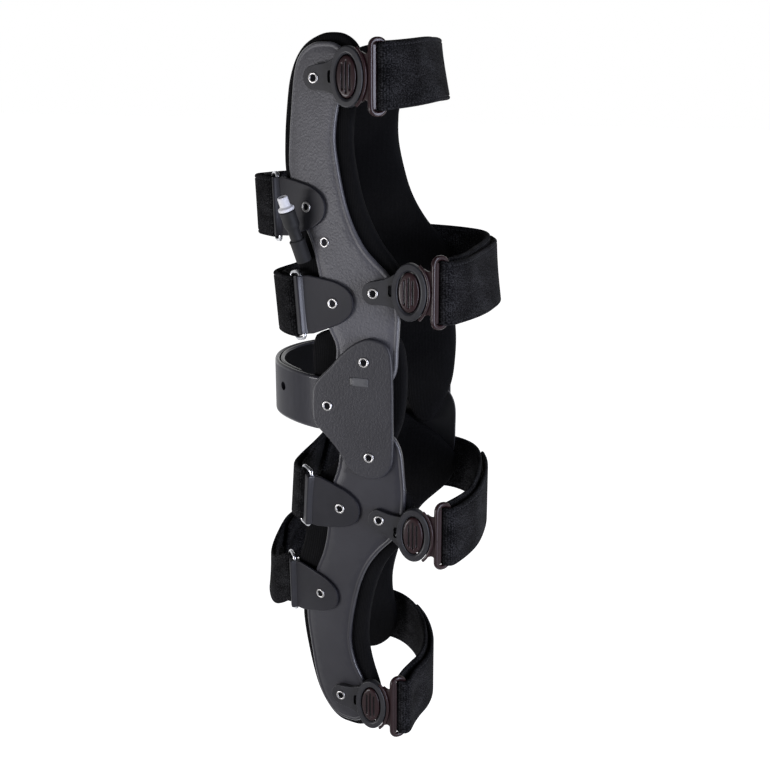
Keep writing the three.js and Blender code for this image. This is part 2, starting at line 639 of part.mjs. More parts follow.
// Back buckles, each with the strap that runs from the far plate, through the loop and back
for (const row of BUCKLES) {
  const frame = shellFrame(row.x, row.z, SOCKET_LIFT, true);
  const ringOutline = ellipsePoints(0, 0, RING_RX, RING_RZ, 20);
  const tab = slab(hull([
    ...ellipsePoints(NOSE_X, row.drop, SOCKET_NOSE_RADIUS, SOCKET_NOSE_RADIUS, 12),
    ...ringOutline,
  ]), 0, TAB_THICK);
  const hole = slab(ellipsePoints(0, 0, RING_HOLE_RX, RING_HOLE_RZ, 16), -1, SOCKET_THICK + 1);
  const mouth = new THREE.BoxGeometry(RING_RX + 2, RING_MOUTH, 2 * MOUTH_DEPTH)
    .translate((RING_RX + 2) / 2 + 1, 0, 0);
  const slit = slab([
    ...new THREE.EllipseCurve(0, 0, SLIT_OUTER.rx, SLIT_OUTER.rz, SLIT_FROM, SLIT_TO).getPoints(3),
    ...new THREE.EllipseCurve(0, 0, SLIT_INNER.rx, SLIT_INNER.rz, SLIT_TO, SLIT_FROM, true).getPoints(3),
  ], -1, SOCKET_THICK + 1);
  const socket = cut(join(tab, slab(ringOutline, 0, SOCKET_THICK)), hole, mouth, slit).applyMatrix4(frame);
  nearSide.add(piece(`${row.name}_socket`, 'socket_plastic', socket));

  const knobProfile = [[0, 0], [0.97, 0], [1, 0.1], [1, 0.7], [0.93, 0.9], [0.7, 1], [0, 1]];
  const knob = new THREE.LatheGeometry(knobProfile.map(([r, h]) => new THREE.Vector2(r, h)), 12)
    .rotateX(Math.PI / 2)
    .scale(KNOB_RX, KNOB_RZ, KNOB_RISE)
    .translate(0, 0, PLUG_LIFT);
  const tongue = new THREE.BoxGeometry(NECK_END - 2, NECK_HEIGHT, NECK_THICK)
    .translate(NECK_END / 2 + 1, 0, PLUG_LIFT + NECK_THICK / 2);
  const neckArc = Math.asin(NECK_HEIGHT / 2 / (RING_RZ + NECK_GAP));
  const neck = slab([
    ...new THREE.EllipseCurve(0, 0, RING_RX + NECK_GAP, RING_RZ + NECK_GAP, -neckArc, neckArc).getPoints(6),
    new THREE.Vector2(NECK_END, NECK_WAIST / 2),
    new THREE.Vector2(NECK_END, -NECK_WAIST / 2),
  ], PLUG_LIFT, PLUG_LIFT + LOOP_THICK);
  const loopCorner = ([sx, sy]) => ellipsePoints(
    LOOP_DEPTH / 2 + sx * (LOOP_DEPTH / 2 - LOOP_CORNER),
    sy * (LOOP_HEIGHT / 2 - LOOP_CORNER),
    LOOP_CORNER,
    LOOP_CORNER,
    8,
  );
  const loopFrame = new THREE.Shape(hull([[1, 1], [1, -1], [-1, 1], [-1, -1]].flatMap(loopCorner)));
  const slotHalf = LOOP_HEIGHT / 2 - LOOP_BAR;
  loopFrame.holes.push(new THREE.Path([
    new THREE.Vector2(LOOP_BAR, -slotHalf),
    new THREE.Vector2(LOOP_DEPTH - LOOP_BAR, -slotHalf),
    new THREE.Vector2(LOOP_DEPTH - LOOP_BAR, slotHalf),
    new THREE.Vector2(LOOP_BAR, slotHalf),
  ]));
  const turn = new THREE.Matrix4().makeRotationY(LOOP_TURN).setPosition(NECK_END - 1.2, 0, 2.2);
  const loop = new THREE.ExtrudeGeometry(loopFrame, { depth: LOOP_THICK, bevelEnabled: false })
    .translate(0, 0, -LOOP_THICK / 2)
    .applyMatrix4(turn);
  const plug = join(knob, tongue, neck, loop).applyMatrix4(frame);
  nearSide.add(piece(`${row.name}_plug`, 'plug_plastic', plug));

  const bar = new THREE.Vector3(LOOP_DEPTH - LOOP_BAR / 2, 0, 0).applyMatrix4(turn).applyMatrix4(frame);
  const lines = [-BACK_STRAP_WIDTH / 2, BACK_STRAP_WIDTH / 2].map((level) => {
    const stops = [bar, ...row.way.map(([x, y]) => new THREE.Vector3(x, y, row.z))];
    const curve = new THREE.CatmullRomCurve3(stops, false, 'centripetal');
    const along = curve.getTangentAt(0).setZ(0).normalize();
    const line = [
      ...beside(curve, 1, 0, 14, LOOP_FOLD),
      ...foldAround(bar, along, LOOP_FOLD),
      ...beside(curve, 0, BACK_TAIL, TAIL_SPANS, -LOOP_FOLD),
    ];
    const tailStart = line.length - TAIL_SPANS - 1;
    return line.map((p, k) => {
      const rise = row.rise * smooth(p.y, bar.y, 50);
      const away = smooth(p.y, bar.y + 6, 0) * (1 - smooth(p.y, 20, 52));
      const flare = (row.flare * away * level) / BACK_STRAP_WIDTH;
      const hang = row.hang * smooth(k, tailStart, tailStart + TAIL_SPANS / 2);
      return new THREE.Vector3(p.x - flare, p.y, bar.z + level + rise + row.lift * away - hang);
    });
  });
  brace.add(piece(`${row.name}_back_strap`, 'strap_webbing', ribbon(lines[0], lines[1], STRAP_THICK)));
}

// Air valve: rubber tube on the front margin of the near thigh pad, with a white nozzle
const NOZZLE_SEAT = 32.7;
const VALVE_BASE = new THREE.Vector3(-42.2, -51.3, 86.2);
const VALVE_MOUTH = new THREE.Vector3(-51.2, -61, 124.4);
const TUBE_PROFILE = [
  [0, 0], [4.5, 0], [4.7, 0.6], [4.7, 10], [4.1, 10.8], [4.1, 20], [5, 20.8], [5.4, 22], [5.4, 31.6],
  [5, 32.4], [0, 32.4],
];
const NOZZLE_PROFILE = [
  [0, 0], [5.2, 0], [5.4, 0.5], [5.4, 1.6], [5, 2.1], [3.7, 2.4], [3.5, 8], [3.2, 8.4],
  [2.5, 8.4], [2.3, 8], [2.3, 3], [0, 3],
];
const valveAxis = new THREE.Vector3().subVectors(VALVE_MOUTH, VALVE_BASE).normalize();
const valveTurn = new THREE.Quaternion().setFromUnitVectors(new THREE.Vector3(0, 1, 0), valveAxis);

function valvePiece(name, slot, profile, height) {
  const points = profile.map(([r, h]) => new THREE.Vector2(r, h));
  const mesh = piece(name, slot, weld(new THREE.LatheGeometry(points, 10)));
  mesh.position.copy(VALVE_BASE).addScaledVector(valveAxis, height);
  mesh.quaternion.copy(valveTurn);
  return mesh;
}

brace.add(valvePiece('valve_tube', 'valve_rubber', TUBE_PROFILE, 0));
brace.add(valvePiece('valve_nozzle', 'valve_white', NOZZLE_PROFILE, NOZZLE_SEAT));

export default brace;
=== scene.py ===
import math

import bmesh
import bpy
import numpy as np
from mathutils import Matrix, Vector
from mathutils.geometry import delaunay_2d_cdt


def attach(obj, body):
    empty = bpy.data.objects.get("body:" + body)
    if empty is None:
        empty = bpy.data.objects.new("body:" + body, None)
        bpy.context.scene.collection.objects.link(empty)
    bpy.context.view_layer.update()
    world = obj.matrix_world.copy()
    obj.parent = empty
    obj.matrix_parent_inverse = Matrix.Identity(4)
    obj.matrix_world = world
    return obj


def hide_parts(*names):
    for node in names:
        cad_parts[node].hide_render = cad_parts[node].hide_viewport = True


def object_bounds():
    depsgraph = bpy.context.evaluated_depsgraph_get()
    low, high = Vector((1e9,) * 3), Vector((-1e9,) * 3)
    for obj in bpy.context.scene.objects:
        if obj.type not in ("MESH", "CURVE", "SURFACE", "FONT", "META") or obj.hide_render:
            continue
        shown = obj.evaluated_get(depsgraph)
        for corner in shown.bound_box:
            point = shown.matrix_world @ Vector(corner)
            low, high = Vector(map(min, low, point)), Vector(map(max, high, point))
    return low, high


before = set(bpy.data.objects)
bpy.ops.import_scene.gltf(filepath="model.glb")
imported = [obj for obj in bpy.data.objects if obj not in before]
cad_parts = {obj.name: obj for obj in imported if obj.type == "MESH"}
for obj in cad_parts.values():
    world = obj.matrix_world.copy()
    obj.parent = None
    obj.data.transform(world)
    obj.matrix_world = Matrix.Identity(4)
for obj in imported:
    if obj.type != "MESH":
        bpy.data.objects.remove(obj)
cad_low, cad_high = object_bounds()

# The studio. The brace is held up in a white light tent, a hand's width above a pale floor.
# A tall cool lamp stands at the right for the rims, and the main one low at the front left.
# Places here are in metres; patterns, and every piece that follows, are in millimetres.
CAMERA_PLACE = (0.2525, -0.7199, 0.2114)
CAMERA_TILT, CAMERA_TURN = 74.5, 20.0
CAMERA_LENS, CAMERA_SENSOR = 57.5, 36.0
TENT_FRONT = (0.3, 0.3, 0.31)
TENT_RAMPS = {
    # axis of the way looked: (where the next colour starts, where it is full, the colour)
    "Y": (-0.35, 0.45, (1.0, 1.0, 1.0)),
    "Z": (0.15, 0.75, (0.08, 0.08, 0.085)),
}
FLOOR_DROP, FLOOR_HALF, FLOOR_GLOW = 0.12, 8.0, 0.95
FLOOR_FRONT, FLOOR_BACK, FLOOR_FADE = (0.3, 0.3, 0.3), (1.0, 1.0, 1.0), (-150.0, 30.0)
PAPER_DARK, PAPER_PALE, PAPER_CLOUD = (0.56, 0.56, 0.56), (0.6, 0.6, 0.6), 60.0
LAMPS = {
    # name: (place, target, width, height, watts, colour)
    "right_lamp": ((0.85, -0.4, -0.1), (0.0, 0.0, 0.0), 0.17, 1.2, 13.0, (0.78, 0.82, 1.0)),
    "left_lamp": ((-0.8, -0.75, -0.18), (0.0, 0.0, 0.0), 0.6, 0.28, 7.2, (0.98, 0.97, 1.0)),
}
# Sockets of a node that mixes two colours: its share, the first and second colour, and the result.
MIX_SHARE, MIX_FIRST, MIX_SECOND, MIX_RESULT = 0, 6, 7, 2

scene = bpy.context.scene
scene.view_settings.view_transform = "Standard"
camera = bpy.data.objects.new("camera", bpy.data.cameras.new("camera"))
camera.data.lens = CAMERA_LENS
camera.data.sensor_width = CAMERA_SENSOR
camera.location = CAMERA_PLACE
camera.rotation_euler = (math.radians(CAMERA_TILT), 0.0, math.radians(CAMERA_TURN))
scene.collection.objects.link(camera)
scene.camera = camera

for name, (place, target, width, height, watts, colour) in LAMPS.items():
    lamp = bpy.data.objects.new(name, bpy.data.lights.new(name, "AREA"))
    lamp.data.shape = "RECTANGLE"
    lamp.data.size, lamp.data.size_y = width, height
    lamp.data.energy = watts
    lamp.data.color = colour
    lamp.location = place
    lamp.rotation_euler = (Vector(target) - Vector(place)).to_track_quat("-Z", "Y").to_euler()
    scene.collection.objects.link(lamp)


class Field:
    """A value or colour that varies over a surface: one socket of a finish's nodes."""

    def __init__(self, finish, socket):
        self.finish = finish
        self.socket = socket

    def math(self, operation, *others):
        """One step of arithmetic on this value and others."""
        inputs = dict(enumerate([self, *others]))
        return self.finish.node("ShaderNodeMath", {"operation": operation}, inputs)

    def __add__(self, other):
        return self.math("ADD", other)

    __radd__ = __add__

    def __sub__(self, other):
        return self.math("SUBTRACT", other)

    def __rsub__(self, other):
        return (self * -1.0) + other

    def __mul__(self, other):
        return self.math("MULTIPLY", other)

    __rmul__ = __mul__

    def ease(self, low, high):
        """0 below low, 1 above high, smooth between."""
        return self.finish.node(
            "ShaderNodeMapRange",
            {"interpolation_type": "SMOOTHSTEP", "clamp": True},
            {"Value": self, "From Min": low, "From Max": high},
        )


class Finish:
    """A material built on one shader, whose even values are set on the shader's own sockets."""

    def __init__(self, name, **even):
        self.material = bpy.data.materials.new(name)
        self.material.use_nodes = True
        self.tree = self.material.node_tree
        self.shader = self.tree.nodes["Principled BSDF"]
        for key, value in even.items():
            self.shader.inputs[key.replace("_", " ").replace("Ior", "IOR")].default_value = value

    def node(self, kind, settings=None, inputs=None, out=0):
        """One node: its settings first, then the values or links of its sockets."""
        made = self.tree.nodes.new(kind)
        for key, value in (settings or {}).items():
            setattr(made, key, value)
        for key, value in (inputs or {}).items():
            self.join(made.inputs[key], value)
        return Field(self, made.outputs[out])

    def join(self, socket, value):
        """Links a varying value to a socket, or sets an even one."""
        if isinstance(value, Field):
            self.tree.links.new(value.socket, socket)
        else:
            socket.default_value = value

    def set(self, name, value):
        """Gives one of the shader's own sockets its value."""
        self.join(self.shader.inputs[name], value)

    def places(self, *stretch):
        """Object coordinates in millimetres, each axis divided by its stretch."""
        coordinates = self.node("ShaderNodeTexCoord", out="Object")
        scale = tuple(1000.0 / s for s in (stretch or (1.0, 1.0, 1.0)))
        return self.node("ShaderNodeMapping", {}, {"Vector": coordinates, "Scale": scale})

    def along(self, *stretch):
        """The piece's own map in millimetres, each axis divided by its stretch."""
        coordinates = self.node("ShaderNodeTexCoord", out="UV")
        scale = tuple(1.0 / s for s in stretch) + (1.0,)
        return self.node("ShaderNodeMapping", {}, {"Vector": coordinates, "Scale": scale})

    def cloud(self, places, size, detail=3.0, rough=0.55):
        """Soft noise with blots of about this size."""
        return self.node(
            "ShaderNodeTexNoise",
            {},
            {"Vector": places, "Scale": 1.0 / size, "Detail": detail, "Roughness": rough},
        )

    def cells(self, places, size, feature="F1"):
        """Distance to the nearest of scattered points, about this size apart."""
        return self.node(
            "ShaderNodeTexVoronoi",
            {"feature": feature},
            {"Vector": places, "Scale": 1.0 / size},
            "Distance",
        )

    def part(self, vector, axis):
        """One axis of a vector."""
        return self.node("ShaderNodeSeparateXYZ", {}, {0: vector}, axis)

    def mark(self, name):
        """A value stored on the piece's points."""
        return self.node("ShaderNodeAttribute", {"attribute_name": name}, out="Fac")

    def tint(self, low, high, mask):
        """A colour between two, or between a colour and a varying one."""
        first, second = ((*c, 1.0) if isinstance(c, tuple) else c for c in (low, high))
        inputs = {MIX_SHARE: mask, MIX_FIRST: first, MIX_SECOND: second}
        return self.node("ShaderNodeMix", {"data_type": "RGBA"}, inputs, MIX_RESULT)

    def raise_by(self, height, distance, strength=1.0):
        """Relief in the surface: a height of 1 stands this many millimetres proud."""
        inputs = {"Height": height, "Distance": distance / 1000.0, "Strength": strength}
        self.set("Normal", self.node("ShaderNodeBump", {}, inputs))


def tent_light():
    """White behind the brace, dimmer on the camera's side, and dark overhead."""
    world = bpy.data.worlds.new("tent")
    world.use_nodes = True
    tree = world.node_tree
    direction = tree.nodes.new("ShaderNodeTexCoord")
    parts = tree.nodes.new("ShaderNodeSeparateXYZ")
    tree.links.new(direction.outputs["Generated"], parts.inputs[0])
    light = tree.nodes.new("ShaderNodeRGB").outputs[0]
    light.default_value = (*TENT_FRONT, 1.0)
    for axis, (low, high, colour) in TENT_RAMPS.items():
        ramp = tree.nodes.new("ShaderNodeMapRange")
        ramp.interpolation_type = "SMOOTHSTEP"
        ramp.inputs["From Min"].default_value = low
        ramp.inputs["From Max"].default_value = high
        blend = tree.nodes.new("ShaderNodeMix")
        blend.data_type = "RGBA"
        blend.inputs[MIX_SECOND].default_value = (*colour, 1.0)
        tree.links.new(parts.outputs[axis], ramp.inputs["Value"])
        tree.links.new(ramp.outputs[0], blend.inputs[MIX_SHARE])
        tree.links.new(light, blend.inputs[MIX_FIRST])
        light = blend.outputs[MIX_RESULT]
    tree.links.new(light, tree.nodes["Background"].inputs["Color"])
    return world


scene.world = tent_light()

floor_finish = Finish("pale floor", Roughness=0.9, Specular_Ior_Level=0.1, Emission_Strength=FLOOR_GLOW)
paper = floor_finish.cloud(floor_finish.places(), PAPER_CLOUD)
behind = floor_finish.part(floor_finish.places(), "Y").ease(*FLOOR_FADE)
floor_finish.set("Base Color", floor_finish.tint(PAPER_DARK, PAPER_PALE, paper))
floor_finish.set("Emission Color", floor_finish.tint(FLOOR_FRONT, FLOOR_BACK, behind))
floor_z = cad_low.z - FLOOR_DROP
floor_ways = [(-1, -1), (1, -1), (1, 1), (-1, 1)]
floor_corners = [(x * FLOOR_HALF, y * FLOOR_HALF, floor_z) for x, y in floor_ways]
floor_mesh = bpy.data.meshes.new("floor")
floor_mesh.from_pydata(floor_corners, [], [(0, 1, 2, 3)])
floor_mesh.materials.append(floor_finish.material)
floor = bpy.data.objects.new("floor", floor_mesh)
scene.collection.objects.link(floor)

# Thigh and calf plates. Each is a stiff sheet bent round the leg, with a rounded rim; the thigh's
# is covered with a grained film and the calf's is coated smooth. The pads are fixed behind them.
# A plate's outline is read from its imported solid, smoothed, and laid on the shell's own curve.
MM = 0.001
KNEE_HALF, ANKLE_HALF = 57.0, 46.0
NARROW_Z = (60.0, 225.0)
WRAP_START_X, WRAP_RADIUS = 20.0, 200.0
WRAP_Z = (20.0, 120.0)
PIVOTS = {"thigh": (-1.2, 29.1), "calf": (1.8, -30.2), "hinge_link": (0.0, 0.0)}
FAR_LEANS = {"thigh": -2.5, "calf": 6.0, "hinge_link": 0.0}
SIDES = ("near", "far")
# Inset and lift of a plate's rings, from the leg side round the rim and over the groove in the face.
# The polished rings are those from one place in this list up to another.
RIM_SECTION = [
    (0.9, -2.8), (0.3, -2.8), (0.0, -2.5), (0.0, -1.3), (0.06, -1.1), (0.42, -0.5), (0.9, -0.06), (1.2, 0.0),
    (2.1, 0.0), (2.5, -0.22), (2.9, -0.22), (3.4, 0.0),
]
RIM_RINGS = (3, 7)
OUTLINE_STEP, OUTLINE_SOFTENING = 2.2, 2
# Points inside a face: their spacing, and as shares of it their rows' spacing and their border's.
FACE_STEP, FACE_ROWS, BORDER_CLEAR = 3.6, 0.87, 0.6
# A smooth line has this many parts between two of its given points, and this many in all at least.
LINE_PARTS, LINE_LEAST = 16, 8
# Points as near as this, in metres, are one; a face past these shares looks outward, or is a wall.
WELD, FACING, EDGE_ON = 1e-6, 0.6, 0.5
INNER_ROUND = 0.4
FELT, FELT_ROUGH, FELT_WITHIN = (0.0025, 0.0025, 0.0028), 0.4, 0.1
EDGE_POLISH, EDGE_ROUGH = 0.6, 0.3


def ease(value, low, high):
    """0 below low, 1 above high, smooth between."""
    share = np.clip((value - low) / (high - low), 0.0, 1.0)
    return share * share * (3.0 - 2.0 * share)


def shell_face(x, z):
    """Distance of the plates' outer face from the mid plane."""
    narrowing = (KNEE_HALF - ANKLE_HALF) * ease(-z, *NARROW_Z)
    wrap = np.maximum(0.0, WRAP_START_X - x) ** 2 / (2.0 * WRAP_RADIUS)
    return KNEE_HALF - narrowing - wrap * ease(np.abs(z), *WRAP_Z)


def on_shell(points):
    """Points given as x, lift and z, set on the near side's shell."""
    x, lift, z = points.T
    return np.column_stack([x, -shell_face(x, z) - lift, z])


def to_side(points, body, side, back=False):
    """Points of the near side, moved to the side that they are for, or back from it."""
    if side == "near":
        return points
    pivot_x, pivot_z = PIVOTS[body]
    lean = math.radians(-FAR_LEANS[body] if back else FAR_LEANS[body])
    x, z = points[:, 0] - pivot_x, points[:, 2] - pivot_z
    turned_x = x * math.cos(lean) + z * math.sin(lean)
    turned_z = z * math.cos(lean) - x * math.sin(lean)
    return np.column_stack([pivot_x + turned_x, -points[:, 1], pivot_z + turned_z])


def run_along(line):
    """Distance along a line to each of its points."""
    return np.concatenate([[0.0], np.cumsum(np.linalg.norm(np.diff(line, axis=0), axis=1))])


def smooth_line(points, step, closed=False):
    """Evenly spaced points, about a step apart, on a smooth line through the given ones."""
    points = np.asarray(points, float)
    if closed:
        line = np.vstack([points[-1], points, points[:2]])
    else:
        line = np.vstack([2 * points[0] - points[1], points, 2 * points[-1] - points[-2]])
    gaps = np.sqrt(np.linalg.norm(np.diff(line, axis=0), axis=1))
    t = np.linspace(0.0, 1.0, LINE_PARTS, endpoint=False)[:, None]
    fine = []
    for i in range(1, len(line) - 2):
        before, start, end, after = line[i - 1:i + 3]
        d0, d1, d2 = gaps[i - 1:i + 2]
        leave = ((start - before) / d0 - (end - before) / (d0 + d1) + (end - start) / d1) * d1
        arrive = ((end - start) / d1 - (after - start) / (d1 + d2) + (after - end) / d2) * d1
        bend = (2 * t**3 - 3 * t**2 + 1) * start + (t**3 - 2 * t**2 + t) * leave
        fine.append(bend + (3 * t**2 - 2 * t**3) * end + (t**3 - t**2) * arrive)
    fine = np.vstack([*fine, line[-2]])
    run = run_along(fine)
    stops = np.linspace(0.0, run[-1], max(LINE_LEAST, round(run[-1] / step)) + 1)
    even = np.column_stack([np.interp(stops, run, axis) for axis in fine.T])
    return even[:-1] if closed else even


def merged_solid(node):
    """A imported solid, with its loose triangles joined."""
    solid = bmesh.new()
    solid.from_mesh(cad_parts[node].data)
    bmesh.ops.remove_doubles(solid, verts=solid.verts, dist=WELD)
    solid.normal_update()
    return solid


def rim_of(node, body, side):
    """Outline of the face of a plate or pad that looks away from the leg, as x and z."""
    solid = merged_solid(node)
    out = -1.0 if side == "near" else 1.0
    beside = {}
    for edge in solid.edges:
        faced = sorted(face.normal.y * out for face in edge.link_faces)
        if len(faced) == 2 and faced[1] > FACING and abs(faced[0]) < EDGE_ON:
            for a, b in (edge.verts, reversed(edge.verts)):
                beside.setdefault(a, []).append(b)
    loops = []
    while beside:
        first = last = next(iter(beside))
        loop = [first]
        while beside.get(last):
            step = beside[last].pop()
            beside[step].remove(last)
            last = step
            loop.append(step)
        loops.append(np.array([vert.co for vert in loop[:-1]]) / MM)
        beside = {vert: ends for vert, ends in beside.items() if ends}
    solid.free()
    longest = max(loops, key=lambda loop: np.ptp(loop[:, 2]))
    flat = to_side(longest, body, side, back=True)[:, [0, 2]]
    after = np.roll(flat, -1, 0)
    turning = (flat[:, 0] * after[:, 1] - after[:, 0] * flat[:, 1]).sum()
    return flat if turning > 0 else flat[::-1]


def soften(loop, rounds):
    """Takes small kinks out of a closed outline."""
    for _ in range(rounds):
        loop = 0.5 * loop + 0.25 * (np.roll(loop, 1, 0) + np.roll(loop, -1, 0))
    return loop


def within(points, loop):
    """Which flat points lie inside a closed outline."""
    x, y = points[:, 0, None], points[:, 1, None]
    start, end = loop, np.roll(loop, -1, 0)
    crosses = (start[:, 1] > y) != (end[:, 1] > y)
    rise = np.where(end[:, 1] == start[:, 1], 1.0, end[:, 1] - start[:, 1])
    meets = start[:, 0] + (y - start[:, 1]) * (end[:, 0] - start[:, 0]) / rise
    return (crosses & (x < meets)).sum(1) % 2 == 1


def on_face(points, loops):
    """Which flat points lie inside the first loop and in none of the others, its holes."""
    return sum(within(points, loop).astype(int) for loop in loops) == 1


def fill_face(loops, step):
    """Inner points and triangles over a flat outline; the loops after the first are holes."""
    border = np.vstack(loops)
    edges = []
    for loop in loops:
        first = len(edges)
        edges += [(first + i, first + (i + 1) % len(loop)) for i in range(len(loop))]
    low, high = border.min(0), border.max(0)
    rows = np.arange(low[1] + step / 2, high[1], step * FACE_ROWS)
    columns = np.arange(low[0], high[0], step)
    grid = [(x + (k % 2) * step / 2, y) for k, y in enumerate(rows) for x in columns]
    grid = np.array(grid).reshape(-1, 2)
    clear = np.linalg.norm(grid[:, None] - border[None], axis=2).min(1) > BORDER_CLEAR * step
    points = np.vstack([border, grid[on_face(grid, loops) & clear]])
    triangles = np.array(delaunay_2d_cdt([Vector(p) for p in points], edges, [], 0, 1e-7)[2])
    a, b, c = (points[triangles[:, k]] for k in range(3))
    turning = (b - a)[:, 0] * (c - a)[:, 1] - (b - a)[:, 1] * (c - a)[:, 0]
    triangles = np.where(turning[:, None] < 0, triangles[:, ::-1], triangles)
    kept = on_face(points[triangles].mean(1), loops) & (np.abs(turning) > 1e-9)
    return points[len(border):], triangles[kept]


def inset_loop(loop, inset):
    """A closed outline drawn in by a distance, square to itself."""
    along = np.roll(loop, -1, 0) - np.roll(loop, 1, 0)
    inward = np.column_stack([-along[:, 1], along[:, 0]])
    return loop + inset * inward / np.linalg.norm(inward, axis=1)[:, None]


def lifted(flat, lift):
    """Flat points given a lift, as x, lift and z."""
    return np.insert(flat, 1, lift, axis=1)


def wall(low, high, count):
    """Faces between two rings of points, from the number of each ring's first point."""
    return [(low + i, low + (i + 1) % count, high + (i + 1) % count, high + i) for i in range(count)]


def walls(rings, count, closed=False):
    """Faces between rings that follow each other; when closed, the last also meets the first."""
    steps = rings if closed else rings - 1
    return [face for k in range(steps) for face in wall(k * count, (k + 1) % rings * count, count)]


def lay_up(outline, section, step=FACE_STEP, holes=()):
    """Closed form over an outline, as points of x, lift and z, and faces. The section gives the
    inset and lift of each ring, from the inner face's border round to the outer face's border."""
    rings = [(inset_loop(outline, inset), lift) for inset, lift in section]
    points = [lifted(loop, lift) for loop, lift in rings]
    count = len(outline)
    faces = walls(len(rings), count)
    total = count * len(rings)
    hole_starts = {}
    for k, (loop, lift) in ((0, rings[0]), (len(rings) - 1, rings[-1])):
        starts = [total]
        for hole in holes:
            points.append(lifted(hole, lift))
            starts.append(starts[-1] + len(hole))
        hole_starts[k] = starts
        inner, triangles = fill_face([loop, *holes], step)
        points.append(lifted(inner, lift))
        holed = starts[-1] - total
        index = np.concatenate([k * count + np.arange(count), total + np.arange(holed + len(inner))])
        triangles = index[triangles]
        faces += (triangles if k else triangles[:, ::-1]).tolist()
        total += holed + len(inner)
    low, high = hole_starts[0], hole_starts[len(rings) - 1]
    for h, hole in enumerate(holes):
        faces += wall(high[h], low[h], len(hole))
    return np.vstack(points), faces


def rounded_edge(low, high, radius, turns=4, hold=0.5, inner=INNER_ROUND):
    """Section of a sheet with a round rim on its outer face and one of an inner share of that
    radius on its leg side. Beside each rim the face is held flat for a little."""
    arc = [(1 - math.cos(a), 1 - math.sin(a)) for a in np.linspace(0.0, math.pi / 2, turns)]
    small = radius * inner
    leg_side = [(small * inset, low + small * drop) for inset, drop in arc[::-1]]
    outside = [(radius * inset, high - radius * drop) for inset, drop in arc]
    return [(small + hold, low), *leg_side, *outside, (radius + hold, high)]


def make_piece(name, points, faces, finish, along=None, crease=None):
    """A smooth piece, with a map of its own and edges sharp past a crease angle where given."""
    mesh = bpy.data.meshes.new(name)
    mesh.from_pydata((np.asarray(points) * MM).tolist(), [], [tuple(map(int, face)) for face in faces])
    form = bmesh.new()
    form.from_mesh(mesh)
    bmesh.ops.recalc_face_normals(form, faces=form.faces)
    form.to_mesh(mesh)
    form.free()
    mesh.polygons.foreach_set("use_smooth", [True] * len(mesh.polygons))
    mesh.materials.append(finish.material)
    if along is not None:
        corners = np.zeros(len(mesh.loops), np.int32)
        mesh.loops.foreach_get("vertex_index", corners)
        layer = mesh.uv_layers.new(name="along")
        layer.data.foreach_set("uv", np.asarray(along, np.float32)[corners].ravel())
    if crease is not None:
        mesh.set_sharp_from_angle(angle=math.radians(crease))
    made = bpy.data.objects.new(name, mesh)
    scene.collection.objects.link(made)
    return made


def store(piece, name, values):
    """Keeps a value at each of a piece's points, for its finish."""
    attribute = piece.data.attributes.new(name, "FLOAT", "POINT")
    attribute.data.foreach_set("value", np.asarray(values, np.float32))


def store_rings(piece, name, count, first, last, value=1.0):
    """Marks the rings of a laid-up form between two places in its section."""
    values = np.zeros(len(piece.data.vertices))
    values[first * count:last * count] = value
    store(piece, name, values)


def settle(piece, body, slot, *nodes):
    """Fixes a piece to what it rides on and hides the nodes that it stands for; the kind of material that it
    is given is not used.
    """
    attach(piece, body)
    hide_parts(*nodes)
    return piece


def grained_finish(name, dark, pale, rough, relief):
    """Film embossed like leather: small pebbles with short creases; the leg side is black felt."""
    made = Finish(name, Specular_Ior_Level=0.3, Coat_Roughness=EDGE_ROUGH)
    place = made.places()
    pebbles = made.cells(made.places(1.0, 1.0, 1.2), 1.0, "SMOOTH_F1")
    creases = made.cloud(made.places(1.5, 1.5, 2.0), 1.0, 3.0, 0.6)
    blotches = made.cloud(place, 30.0, 2.0)
    lining = made.mark("lining")
    mottle = creases * 0.4 - pebbles * 0.2 + blotches * 0.6
    film = made.tint(dark, pale, mottle.ease(0.1, 0.75))
    made.set("Base Color", made.tint(film, FELT, lining))
    made.set("Roughness", rough + creases * 0.12 + lining * FELT_ROUGH)
    made.set("Coat Weight", made.mark("edge") * EDGE_POLISH)
    made.raise_by(creases - pebbles, relief, 1.0)
    return made


def satin_finish(name, dark, pale, rough, shine):
    """Smooth sprayed coat with a faint orange peel and handling haze; the leg side is black felt."""
    made = Finish(name, Specular_Ior_Level=shine, Coat_Roughness=EDGE_ROUGH)
    place = made.places()
    peel = made.cloud(place, 1.6, 2.0)
    haze = made.cloud(place, 30.0, 3.0)
    specks = made.cells(place, 2.4).ease(0.1, 0.02)
    lining = made.mark("lining")
    coat = made.tint(dark, pale, haze.ease(0.3, 0.75) * 0.8 + specks * 0.2)
    made.set("Base Color", made.tint(coat, FELT, lining))
    made.set("Roughness", rough + haze * 0.1 - peel * 0.04 + lining * FELT_ROUGH)
    made.set("Coat Weight", made.mark("edge") * EDGE_POLISH)
    made.raise_by(peel, 0.03, 0.35)
    return made


